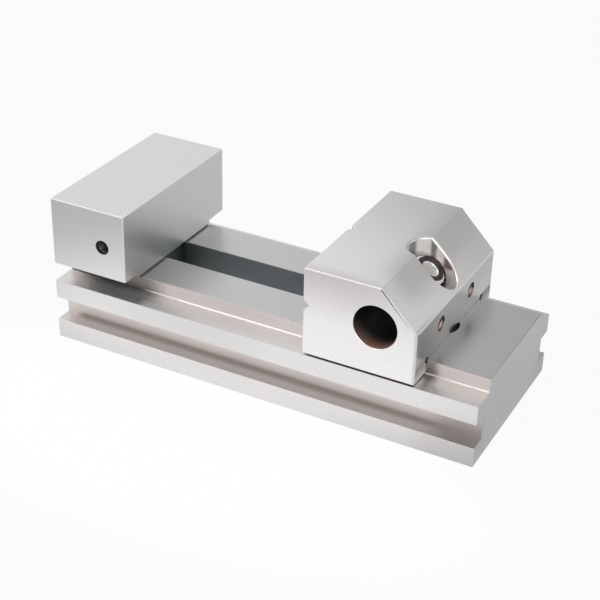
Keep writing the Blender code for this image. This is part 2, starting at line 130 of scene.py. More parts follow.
class Graph:
    """A node tree with short calls to add and join its nodes."""

    def __init__(self, tree: bpy.types.NodeTree) -> None:
        """Empty the tree and keep it.

        Args:
            tree: The node tree of a material or of the world.
        """
        self.tree = tree
        self.tree.nodes.clear()

    def add(
        self, kind: str, feeds: Optional[dict[object, object]] = None, **settings: object
    ) -> bpy.types.Node:
        """Add a node and feed its inputs.

        Args:
            kind: Blender's name of the node type, after the words ShaderNode.
            feeds: Sockets or constant values, by the name or number of the input.
            **settings: Values for the node's own properties.

        Returns:
            The new node.
        """
        node = self.tree.nodes.new("ShaderNode" + kind)
        for name, value in settings.items():
            setattr(node, name, value)
        for name, value in (feeds or {}).items():
            if isinstance(value, Socket):
                self.tree.links.new(value, node.inputs[name])
            else:
                node.inputs[name].default_value = value
        return node

    def maths(self, operation: str, first: object, second: object = 0.0) -> Socket:
        """Work out one number from two, each a socket or a number."""
        return self.add("Math", {0: first, 1: second}, operation=operation).outputs[0]

    def vector(self, operation: str, first: Socket, second: object = None) -> Socket:
        """Work out one vector from one or two, the second a socket or three numbers."""
        feeds = {0: first} if second is None else {0: first, 1: second}
        return self.add("VectorMath", feeds, operation=operation).outputs[0]

    def along(self, vector: Socket, direction: Sequence[float]) -> Socket:
        """Measure a position along a direction."""
        feeds = {0: vector, 1: direction}
        return self.add("VectorMath", feeds, operation="DOT_PRODUCT").outputs["Value"]

    def length(self, vector: Socket) -> Socket:
        """Measure how long a vector is."""
        return self.add("VectorMath", {0: vector}, operation="LENGTH").outputs["Value"]

    def split(self, vector: Socket) -> list[Socket]:
        """Part a vector into its X, Y and Z."""
        return list(self.add("SeparateXYZ", {0: vector}).outputs)

    def noise(self, vector: Socket, scale: float, detail: float) -> Socket:
        """Smooth random value, about 0 to 1, over a position."""
        feeds = {"Vector": vector, "Scale": scale, "Detail": detail}
        return self.add("TexNoise", feeds).outputs["Fac"]

    def remap(self, value: Socket, source: Point, target: Point = (0.0, 1.0)) -> Socket:
        """Ease a value from one range into another, with its ends held.

        Args:
            value: The number to remap.
            source: The range that it comes in.
            target: The range that it leaves in.

        Returns:
            The remapped number's socket.
        """
        names = ("From Min", "From Max", "To Min", "To Max")
        feeds = {"Value": value, **dict(zip(names, (*source, *target)))}
        return self.add("MapRange", feeds, interpolation_type="SMOOTHSTEP").outputs["Result"]

    def shade(self, factor: Socket, first: object, second: object) -> Socket:
        """Mix two colours.

        Args:
            factor: How much of the second colour there is, from 0 to 1.
            first: A colour or a colour's socket.
            second: A colour or a colour's socket.

        Returns:
            The mixed colour's socket.
        """
        pair = [value if isinstance(value, Socket) else (*value, 1.0) for value in (first, second)]
        return self.add("Mix", {0: factor, 6: pair[0], 7: pair[1]}, data_type="RGBA").outputs[2]


@dataclass(frozen=True)
class PaintedPatch:
    """A painted patch of colour that lies round a bar and thins out away from it; on this vise most are
    painted shade, shadow and reflection.

    The bar's middle and half sizes, and how far off the patch starts and stops thinning,
    are in millimetres. A number over 1 in `across` makes it thin out sooner that way.
    """

    colour: Colour
    middle: Place
    half: Place
    near: float
    far: float
    across: Place = (1.0, 1.0, 1.0)
    both: bool = True

    def over(self, graph: Graph, position: Socket, clean: Socket) -> Socket:
        """Lay the painted patch over a colour, on one side of the object or alike on both.

        Args:
            graph: The material's graph.
            position: The surface position.
            clean: The colour without the patch.

        Returns:
            The colour's socket with the patch laid over it.
        """
        if self.both:
            parts = graph.split(position)
            parts[Axis.Y.value] = graph.maths("ABSOLUTE", parts[Axis.Y.value])
            position = graph.add("CombineXYZ", dict(enumerate(parts))).outputs[0]
        away = graph.vector("ABSOLUTE", graph.vector("SUBTRACT", position, in_metres(*self.middle)))
        past = graph.vector("SUBTRACT", away, in_metres(*self.half))
        outside = graph.vector("MAXIMUM", past, (0.0, 0.0, 0.0))
        distance = graph.length(graph.vector("MULTIPLY", outside, self.across))
        return graph.shade(graph.remap(distance, in_metres(self.near, self.far)), self.colour, clean)


@dataclass(frozen=True)
class MetalFinish:
    """A metal surface: its colours, its gloss, the marks of its tool and its painted patches."""

    name: str
    slot: str
    colour: Colour
    second: Colour
    roughness: float
    grain: Grain
    metallic: float = 1.0
    about: Axis = Axis.Z
    spread: float = 0.015
    relief: float = 0.00015 * MM
    lines: float = 3200.0
    cloud: float = 55.0
    painted_patches: tuple[PaintedPatch, ...] = ()

    def material(self) -> bpy.types.Material:
        """Make the finish as a node material, or return the one made before."""
        made = bpy.data.materials.get(self.name)
        if made is not None:
            return made
        made = bpy.data.materials.new(self.name)
        made.use_nodes = True
        graph = Graph(made.node_tree)
        place = graph.add("TexCoord")
        position = place.outputs["Object"]
        marks = self._marks(graph, place)
        cloud = graph.noise(position, self.cloud, 4.0)
        mixed = graph.maths("ADD", graph.maths("MULTIPLY", marks, 0.5), graph.maths("MULTIPLY", cloud, 0.5))
        colour = graph.shade(graph.remap(mixed, NOISE_SPAN), self.colour, self.second)
        # Painted patches of shade, shadow and reflection go over the steel's own colour.
        for patch in self.painted_patches:
            colour = patch.over(graph, position, colour)
        gloss = (self.roughness - self.spread, self.roughness + self.spread)
        bump = graph.add("Bump", {"Strength": 1.0, "Distance": self.relief, "Height": marks})
        shader = graph.add("BsdfPrincipled", {
            "Metallic": self.metallic, "Base Color": colour,
            "Roughness": graph.remap(mixed, NOISE_SPAN, gloss), "Normal": bump.outputs["Normal"]})
        graph.add("OutputMaterial", {"Surface": shader.outputs["BSDF"]})
        return made

    def _marks(self, graph: Graph, place: bpy.types.Node) -> Socket:
        """Build the tool's marks.

        Args:
            graph: The material's graph.
            place: Its texture coordinate node.

        Returns:
            A height from 0 to 1.
        """
        position = place.outputs["Object"]
        if self.grain is Grain.PLAIN:
            return graph.noise(position, self.lines, 3.0)
        if self.grain is Grain.TURNED:
            return self._rings(graph, position)
        lengthwise, crosswise = (
            graph.noise(graph.vector("MULTIPLY", position, drawn_out), self.lines, 3.0)
            for drawn_out in ((0.02, 1.0, 1.0), (1.0, 0.02, 1.0)))
        facing = graph.along(place.outputs["Normal"], (1.0, 0.0, 0.0))
        turned = graph.remap(graph.maths("ABSOLUTE", facing), (0.5, 0.6))
        gap = graph.maths("SUBTRACT", crosswise, lengthwise)
        return graph.maths("ADD", lengthwise, graph.maths("MULTIPLY", gap, turned))

    def _rings(self, graph: Graph, position: Socket) -> Socket:
        """Rings round the chosen axis, on the round side and on the end faces alike."""
        others = graph.split(position)
        run = others.pop(self.about.value)
        squares = [graph.maths("MULTIPLY", socket, socket) for socket in others]
        radius = graph.maths("SQRT", graph.maths("ADD", *squares))
        joined = graph.add("CombineXYZ", {0: run, 1: radius})
        return graph.noise(joined.outputs[0], self.lines, 2.0)


@dataclass(frozen=True)
class Finishes:
    """Every finish on the vise; many carry painted shade, shadow, reflection or highlights in their colour.
    """

    bed: MetalFinish = MetalFinish(
        "surface_ground_bed", "ground_steel", (0.80, 0.794, 0.788), (0.815, 0.809, 0.803), 0.28,
        Grain.GROUND,
        # Painted shade, alike on both sides: on the ledge and wall under the fixed jaw's overhang, low on the
        # sides at the rear end, at the ledge's inner corner just behind the movable jaw at rest, and along
        # the rails.
        painted_patches=(
            PaintedPatch((0.62, 0.615, 0.605), (-68, 27, 28), (7, 1, 3.5), 0.5, 8.5, (0.45, 1.7, 1.0)),
            PaintedPatch((0.25, 0.252, 0.25), (-64, 25.9, 29), (9, 0.4, 3.2), 0.3, 12.5, (1.0, 3.0, 1.0)),
            PaintedPatch((0.72, 0.71, 0.70), (82, 36.5, 4), (6, 1, 3), 0, 18),
            PaintedPatch((0.46, 0.435, 0.42), (65, 26, 29), (1.6, 1.4, 3.2), 0.3, 4),
            PaintedPatch((0.74, 0.735, 0.73), (-30, 36.5, 22), (14, 1, 3), 2, 30, (1.0, 2.0, 2.0))))
    edge: MetalFinish = MetalFinish(
        "stoned_edge", "ground_steel", (0.80, 0.79, 0.78), (0.82, 0.81, 0.805), 0.45, Grain.PLAIN,
        metallic=0.25, lines=900.0)
    # The way is the bed's own steel painted darker, as painted shade, with more painted shade on the near
    # side by the fixed jaw's foot and just behind the movable jaw at rest.
    way: MetalFinish = MetalFinish(
        "cross_ground_way_painted_shade", "ground_steel", (0.64, 0.637, 0.64), (0.66, 0.657, 0.66), 0.3, Grain.GROUND,
        painted_patches=(
            PaintedPatch((0.42, 0.424, 0.42), (-62, -18, 31.2), (6, 12, 2), 0.5, 30, (1.0, 0.9, 1.0), both=False),
            PaintedPatch((0.50, 0.497, 0.49), (65, -12, 31.2), (1.5, 13, 1), 0.5, 10, (1.0, 0.6, 1.0), both=False)))
    # The clamping face is the bed's steel painted lighter, as painted light, and painted shade makes it
    # darker towards its lower near corner.
    face: MetalFinish = MetalFinish(
        "ground_clamping_face", "ground_steel", (0.89, 0.885, 0.885), (0.905, 0.90, 0.90), 0.38,
        Grain.GROUND,
        painted_patches=(
            PaintedPatch((0.66, 0.662, 0.66), (-56, -40, 31.2), (2, 4, 1), 0.5, 22, (1.0, 0.5, 0.8), both=False),))
    # The groove is the bed's steel painted darker and warmer, as painted shade; more painted shade makes a
    # dark band along its inner corner and darkens its rear end.
    groove: MetalFinish = MetalFinish(
        "milled_side_groove", "ground_steel", (0.73, 0.712, 0.703), (0.76, 0.742, 0.733), 0.36,
        Grain.GROUND, lines=1300.0, relief=0.0005 * MM,
        painted_patches=(
            PaintedPatch((0.56, 0.532, 0.522), (0, 30.2, 7.9), (80, 0.5, 0.5), 0.2, 4.2, (0.8, 1.7, 2.4)),
            PaintedPatch((0.57, 0.552, 0.542), (84, 31, 14), (4, 2, 4), 0, 16)))
    corner: MetalFinish = MetalFinish(
        "ledge_inner_corner", "ground_steel", (0.85, 0.82, 0.81), (0.87, 0.84, 0.83), 0.42, Grain.PLAIN,
        metallic=0.7, lines=900.0,
        # Painted shade: dark in the inner corner under the fixed jaw's overhang.
        painted_patches=(
            PaintedPatch((0.12, 0.119, 0.117), (-72, 25.7, 25.6), (14, 2, 2), 0.5, 9),))
    # Painted shade: the relief at the fixed jaw's foot, the way's edge bevels and the jaw's corner reliefs
    # are painted darker than the steel.
    shaded_recess: MetalFinish = MetalFinish(
        "recess_painted_shade", "ground_steel", (0.46, 0.457, 0.453), (0.50, 0.497, 0.493), 0.4, Grain.PLAIN,
        lines=900.0)
    # Painted shade: the slot's and channel's walls are painted dark bluish grey, darkest at both ends of the
    # slot under the jaws.
    milled_shaded_slot: MetalFinish = MetalFinish(
        "milled_slot_wall_painted_shade", "ground_steel", (0.44, 0.485, 0.497), (0.48, 0.525, 0.537), 0.42, Grain.GROUND,
        lines=1300.0, relief=0.001 * MM,
        painted_patches=(
            PaintedPatch((0.25, 0.29, 0.292), (-66, 0, 20), (7, 20, 20), 1, 12),
            PaintedPatch((0.09, 0.11, 0.11), (-66, 0, 20), (8.6, 20, 20), 0.2, 1.7),
            PaintedPatch((0.03, 0.032, 0.03), (70, 0, 20), (6, 20, 20), 1, 8)))
    shaded: MetalFinish = MetalFinish(
        "milled_undercut", "ground_steel", (0.84, 0.835, 0.825), (0.87, 0.865, 0.855), 0.42, Grain.GROUND,
        metallic=0.3, lines=1300.0, relief=0.001 * MM)
    # Painted shade: the stop hole is painted nearly black inside.
    shaded_stop_hole: MetalFinish = MetalFinish(
        "stop_hole_painted_shade", "ground_steel", (0.10, 0.098, 0.097), (0.20, 0.19, 0.185), 0.36, Grain.PLAIN,
        lines=1500.0)
    jaw: MetalFinish = MetalFinish(
        "surface_ground_jaw", "ground_jaw_steel", (0.90, 0.894, 0.888), (0.915, 0.909, 0.903), 0.27,
        Grain.GROUND,
        # Painted shade: the top darker towards the far side, the back darker low at its near corner, a darker
        # pinkish band along the top of the near side, and a darker band across the sloping face near its top.
        painted_patches=(
            PaintedPatch((0.76, 0.754, 0.76), (45, 40, 60), (30, 4, 12), 0, 60, (1.0, 1.0, 3.0), both=False),
            PaintedPatch((0.57, 0.57, 0.565), (66.5, -36, 36), (2, 3, 12), 0, 9, (6.0, 0.4, 1.0), both=False),
            PaintedPatch((0.80, 0.765, 0.77), (28, -37, 61), (10, 1.2, 2), 0, 19, (0.8, 3.0, 1.0), both=False),
            PaintedPatch((0.68, 0.675, 0.665), (53, 10, 59), (0.5, 28, 0.5), 2, 13, (1.0, 0.7, 1.0), both=False)))
    # The skirt's end face is the jaw's steel painted darker, as painted shade, with more painted shade along
    # its top under the jaw.
    skirt_end: MetalFinish = MetalFinish(
        "skirt_end_face", "ground_jaw_steel", (0.70, 0.69, 0.685), (0.72, 0.71, 0.705), 0.5, Grain.PLAIN,
        metallic=0.2, lines=900.0,
        painted_patches=(
            PaintedPatch((0.38, 0.37, 0.365), (64.5, 31, 32), (2, 6, 0.8), 0, 4.6),))
    # The bore is painted nearly black inside, as painted shade, and brown low down near its mouths, as
    # painted light where light reaches in.
    bore: MetalFinish = MetalFinish(
        "bore_wall_painted_shade", "ground_jaw_steel", (0.02, 0.023, 0.024), (0.03, 0.032, 0.033), 0.42,
        Grain.TURNED, metallic=0.35, about=Axis.Y, lines=1500.0, cloud=90.0, relief=0.001 * MM,
        painted_patches=(
            PaintedPatch((0.40, 0.235, 0.185), (45, 40, 34), (8, 3, 2.5), 0.3, 9.5, (0.6, 1.0, 0.9)),))
    # Painted highlight: the pocket's rounded rim is painted brighter than the jaw, on its far side only.
    rim: MetalFinish = MetalFinish(
        "pocket_rim_painted_highlight", "ground_jaw_steel", (0.95, 0.935, 0.92), (0.97, 0.955, 0.945), 0.26,
        Grain.PLAIN, metallic=0.8, lines=900.0)
    pocket: MetalFinish = MetalFinish(
        "pocket_wall_painted_reflections", "ground_jaw_steel", (0.93, 0.91, 0.90), (0.95, 0.93, 0.92), 0.24,
        Grain.GROUND, metallic=0.2, lines=1000.0, relief=0.001 * MM,
        # Painted reflection: dark upright bands on the pocket's front end and near the front of its far side;
        # also a brown patch on the far wall towards the rear end.
        painted_patches=(
            PaintedPatch((0.33, 0.32, 0.33), (44.6, 1.6, 55), (0.3, 1.3, 20), 0.2, 2, both=False),
            PaintedPatch((0.27, 0.26, 0.245), (51, 7.6, 55), (0.3, 0.5, 20), 0.1, 1.4, both=False),
            PaintedPatch((0.26, 0.17, 0.15), (57.2, 7.5, 52.3), (0.9, 0.6, 1.2), 0.2, 2, both=False)))
    turned: MetalFinish = MetalFinish(
        "turned_steel", "turned_steel", (0.50, 0.49, 0.48), (0.60, 0.59, 0.58), 0.34, Grain.TURNED,
        about=Axis.Y, lines=3200.0)
    washer: MetalFinish = MetalFinish(
        "hardened_washer_face", "hardened_washer_steel", (0.62, 0.61, 0.59), (0.72, 0.71, 0.69), 0.28,
        Grain.TURNED, lines=3200.0)
    oxide: MetalFinish = MetalFinish(
        "black_oxide", "black_oxide_steel", (0.07, 0.066, 0.063), (0.10, 0.094, 0.09), 0.36, Grain.PLAIN,
        lines=1800.0, spread=0.04)
    # Painted highlight: the hex socket's walls are painted light grey on the black screw.
    socket_highlight: MetalFinish = MetalFinish(
        "socket_wall_painted_highlight", "black_oxide_steel", (0.80, 0.785, 0.77), (0.88, 0.865, 0.85), 0.3,
        Grain.PLAIN, metallic=0.3, lines=1500.0)
    # Painted highlight and wear: the head's chamfer ring and the socket's lead-in are painted near white as
    # painted highlight; the bearing face under the head is worn bright.
    worn_rim_and_highlight: MetalFinish = MetalFinish(
        "screw_rim_wear_and_painted_highlight", "black_oxide_steel", (0.93, 0.91, 0.90), (0.97, 0.96, 0.95), 0.26, Grain.TURNED,
        metallic=0.15, lines=2600.0)
    bronzed: MetalFinish = MetalFinish(
        "worn_bronzed_oxide", "set_screw_steel", (0.34, 0.24, 0.20), (0.56, 0.42, 0.37), 0.33, Grain.PLAIN,
        metallic=0.7, lines=1500.0, spread=0.06)
    bronzed_hole: MetalFinish = MetalFinish(
        "bronzed_screw_hole", "ground_jaw_steel", (0.52, 0.37, 0.33), (0.78, 0.60, 0.55), 0.33, Grain.PLAIN,
        metallic=0.6, lines=1500.0, spread=0.04,
        # Painted shade: each tapped hole darker in its upper part and in a band along its bottom.
        painted_patches=(
            PaintedPatch((0.10, 0.092, 0.085), (62, 14.1, 43), (4, 4, 2.6), 0.1, 1.7),
            PaintedPatch((0.24, 0.21, 0.195), (62, 14.1, 36.6), (4, 4, 0.4), 0.1, 0.8)))


def prism(outline: Sequence[Point], axis: Axis, low: float, high: float) -> Mesh:
    """Extrude a flat outline.

    Args:
        outline: Points as (y, z) for X, (x, z) for Y or (x, y) for Z.
        axis: The direction of the extrusion.
        low: Where it starts along the axis.
        high: Where it ends.

    Returns:
        A closed mesh.
    """
    def place(point: Point, run: float) -> Vector:
        """Put one outline point at a distance along the axis."""
        numbers = list(point)
        numbers.insert(axis.value, run)
        return Vector(numbers)

    bm = bmesh.new()
    near = [bm.verts.new(place(point, low)) for point in outline]
    far = [bm.verts.new(place(point, high)) for point in outline]
    for i, start in enumerate(near):
        j = (i + 1) % len(near)
        bm.faces.new((start, near[j], far[j], far[i]))
    bm.faces.new(near[::-1])
    bm.faces.new(far)
    return bm


def arc(centre: Point, radius: float, start: float, end: float, steps: int) -> list[Point]:
    """Points of a circular arc, both ends included; angles in degrees."""
    points = []
    for i in range(steps + 1):
        angle = math.radians(start + (end - start) * i / steps)
        points.append((centre[0] + radius * math.cos(angle), centre[1] + radius * math.sin(angle)))
    return points


def obround(front: float, rear: float, width: float, steps: int) -> list[Point]:
    """Plan outline of a slot with full-radius ends, centred on y = 0."""
    radius = width / 2
    points = arc((rear - radius, 0.0), radius, -90, 90, steps)
    return points + arc((front + radius, 0.0), radius, 90, 270, steps)


def lathe(
    profile: Sequence[Point], sides: int, ripple: Optional[Callable[[int, float], float]] = None
) -> Mesh:
    """Turn a closed profile about Z.

    Args:
        profile: Points as (radius, z). A radius of 0 is a pole on the axis.
        sides: How many facets go round.
        ripple: Gives what is added to a radius from the facet's number and the height.

    Returns:
        A closed mesh.
    """
    bm = bmesh.new()
    rings = []
    for radius, z in profile:
        if radius == 0.0:
            rings.append([bm.verts.new((0.0, 0.0, z))])
            continue
        ring = []
        for i in range(sides):
            angle = 2 * math.pi * i / sides
            reach = radius + (ripple(i, z) if ripple else 0.0)
            ring.append(bm.verts.new((reach * math.cos(angle), reach * math.sin(angle), z)))
        rings.append(ring)
    for k, lower in enumerate(rings):
        upper = rings[(k + 1) % len(rings)]
        if len(lower) == 1 and len(upper) == 1:
            continue
        for i in range(sides):
            j = (i + 1) % sides
            corners = (lower[i % len(lower)], lower[j % len(lower)],
                       upper[j % len(upper)], upper[i % len(upper)])
            bm.faces.new(tuple(dict.fromkeys(corners)))
    return bm


@dataclass(frozen=True)
class Thread:
    """A right-handed screw thread, as a profile that a lathe can turn.

    An inside thread has its crest at the smaller radius.
    """

    crest: float
    root: float
    pitch: float
    start: float
    end: float
    sides: int = 40
    steps: int = 8

    def profile(self) -> list[Point]:
        """Points from the start to the end, close enough to hold the thread's shape."""
        count = max(1, round((self.end - self.start) / self.pitch * self.steps))
        return [(self.root, self.start + (self.end - self.start) * i / count) for i in range(count + 1)]

    def ripple(self, side: int, z: float) -> float:
        """Height of the thread over its root at a facet and a height, with faded ends."""
        if not self.start <= z <= self.end:
            return 0.0
        turn = (z / self.pitch - side / self.sides) % 1.0
        shape = min(1.0, max(0.0, 1.25 - abs(turn - 0.5) * 3.0))
        fade = min(1.0, (z - self.start) / self.pitch, (self.end - z) / self.pitch)
        return (self.crest - self.root) * shape * max(0.0, fade)


class Workpiece:
    """A closed mesh that is cut, bored and eased like the real blank."""

    def __init__(self, bm: Mesh) -> None:
        """Take a mesh over.

        Args:
            bm: A closed mesh, whose faces are turned outwards here.
        """
        self.bm = bm
        bmesh.ops.recalc_face_normals(self.bm, faces=self.bm.faces)

    def lay(self, direction: Sequence[float], origin: Sequence[float] = (0.0, 0.0, 0.0)) -> "Workpiece":
        """Turn the piece so that its Z points along a direction, then move it."""
        turn = Vector((0.0, 0.0, 1.0)).rotation_difference(Vector(direction))
        bmesh.ops.transform(self.bm, matrix=turn.to_matrix().to_4x4(), verts=self.bm.verts)
        bmesh.ops.translate(self.bm, vec=Vector(origin), verts=self.bm.verts)
        return self

    def cut(self, *tools: Mesh) -> "Workpiece":
        """Subtract tools, one after another.

        Args:
            *tools: Closed meshes, used up here.

        Returns:
            This piece.
        """
        blank = _loose_object("blank", self.bm)
        helpers = []
        for bm in tools:
            bmesh.ops.recalc_face_normals(bm, faces=bm.faces)
            tool = _loose_object("tool", bm)
            step = blank.modifiers.new("cut", "BOOLEAN")
            step.operation = "DIFFERENCE"
            step.solver = "EXACT"
            step.object = tool
            helpers.append(tool)
        graph = bpy.context.evaluated_depsgraph_get()
        made = bpy.data.meshes.new_from_object(blank.evaluated_get(graph))
        self.bm = bmesh.new()
        self.bm.from_mesh(made)
        bpy.data.meshes.remove(made)
        for item in (blank, *helpers):
            mesh = item.data
            bpy.data.objects.remove(item, do_unlink=True)
            bpy.data.meshes.remove(mesh)
        bmesh.ops.remove_doubles(self.bm, verts=self.bm.verts, dist=WELD)
        bmesh.ops.dissolve_limit(self.bm, angle_limit=FLAT_ANGLE, verts=self.bm.verts, edges=self.bm.edges)
        return self

    def ease(
        self, width: float, steps: int, paint: int = -1, inside: bool = False,
        where: Callable[[Vector], bool] = lambda middle: True,
    ) -> "Workpiece":
        """Round the sharp edges.

        Args:
            width: How far the rounding reaches from the edge.
            steps: How many facets make it.
            paint: Number of the finish on the new faces, or -1 for their neighbour's.
            inside: Round the inner corners, and not the outer edges.
            where: Says by its middle whether an edge is rounded.

        Returns:
            This piece.
        """
        chosen = []
        for edge in self.bm.edges:
            angle = edge.calc_face_angle_signed(0.0)
            sharp = angle < -EDGE_ANGLE if inside else angle > EDGE_ANGLE
            if sharp and where((edge.verts[0].co + edge.verts[1].co) / 2):
                chosen.append(edge)
        bmesh.ops.bevel(
            self.bm, geom=chosen, offset=width, segments=steps, profile=0.5, affect="EDGES",
            clamp_overlap=False, loop_slide=False, material=paint)
        return self

    def hold(self, top: float) -> "Workpiece":
        """Grind off what a rounding has pushed above the top face."""
        for vert in self.bm.verts:
            vert.co.z = min(vert.co.z, top)
        return self

    def part(self, axis: Axis, at: float) -> "Workpiece":
        """Part the faces that cross a plane square to an axis, so that each side can be painted."""
        normal = Vector([float(each is axis) for each in Axis])
        bmesh.ops.bisect_plane(
            self.bm, geom=[*self.bm.verts, *self.bm.edges, *self.bm.faces],
            plane_co=normal * at, plane_no=normal, dist=0.001 * MM)
        return self

    def paint(self, number: int, where: Callable[[Vector, Vector], bool]) -> "Workpiece":
        """Give the faces that a test picks another finish.

        Args:
            number: Number of the finish in the object's list.
            where: Gets a face's middle and its normal.

        Returns:
            This piece.
        """
        self.bm.normal_update()
        for face in self.bm.faces:
            if where(face.calc_center_median(), face.normal):
                face.material_index = number
        return self

    def repaint(self, old: int, new: int, where: Callable[[Vector], bool]) -> "Workpiece":
        """Change one finish for another on the faces whose middle passes a test."""
        for face in self.bm.faces:
            if face.material_index == old and where(face.calc_center_median()):
                face.material_index = new
        return self

    def join(self, other: "Workpiece", number: int = 0) -> "Workpiece":
        """Add another mesh to this piece, with a finish of this piece's list."""
        for face in other.bm.faces:
            face.material_index = number
        mesh = bpy.data.meshes.new("joined")
        other.bm.to_mesh(mesh)
        self.bm.from_mesh(mesh)
        bpy.data.meshes.remove(mesh)
        return self

    def finished(self, name: str, finishes: Sequence[MetalFinish], place: Optional[Matrix] = None) -> Item:
        """Make the object, with smooth rounds and flat faces that shade flat.

        Args:
            name: The object's name.
            finishes: Its finishes, in the order of their numbers.
            place: Where its own frame stands, or None for the part's frame.

        Returns:
            The object.
        """
        item = _loose_object(name, self.bm)
        if place is not None:
            item.matrix_world = place
        for finish in finishes:
            item.data.materials.append(finish.material())
        item.data.shade_smooth()
        item.data.set_sharp_from_angle(angle=SMOOTH_ANGLE)
        step = item.modifiers.new("flat_faces", "WEIGHTED_NORMAL")
        step.keep_sharp = True
        step.weight = 100
        return item


def shown_object(name: str, data: bpy.types.ID) -> Item:
    """Put a mesh, a lamp or a camera in the scene."""
    item = bpy.data.objects.new(name, data)
    bpy.context.scene.collection.objects.link(item)
    return item


def _loose_object(name: str, bm: Mesh) -> Item:
    """Put a mesh in the scene and free its builder.

    Args:
        name: Name of the object and its mesh.
        bm: The mesh's builder.

    Returns:
        The object.
    """
    mesh = bpy.data.meshes.new(name)
    bm.to_mesh(mesh)
    bm.free()
    return shown_object(name, mesh)


def drill(profile: Sequence[Point], direction: Place, place: Place, sides: int = DRILL_SIDES) -> Mesh:
    """Turn a drill or a reamer and lay it where it cuts."""
    return Workpiece(lathe(profile, sides)).lay(direction, place).bm


def thread_sleeve(thread: Thread, bore: float, direction: Place, place: Place) -> Workpiece:
    """Make an inside thread, as a sleeve against the wall of its hole.

    Args:
        thread: The thread, with its root at the larger radius.
        bore: The hole's radius.
        direction: Which way the hole opens.
        place: The middle of its mouth.

    Returns:
        The sleeve in its place.
    """
    wall = bore - SLEEVE_GAP
    profile = thread.profile() + [(wall, thread.end), (wall, thread.start)]
    return Workpiece(lathe(profile, thread.sides, thread.ripple)).lay(direction, place)


def hex_key_tool(size: float, depth: float, top: float, lead: float) -> Mesh:
    """Make the punch for a hex socket.

    Args:
        size: Distance across the flats.
        depth: Depth of the flats.
        top: Height of the face that it enters.
        lead: How far it runs past that face.

    Returns:
        A closed mesh with a drill-point tip.
    """
    corner = size / 2 / math.cos(math.pi / 6)
    tip = top - depth - corner * DRILL_SLOPE
    return lathe([(0.0, tip), (corner, top - depth), (corner, top + lead), (0.0, top + lead)], 6)


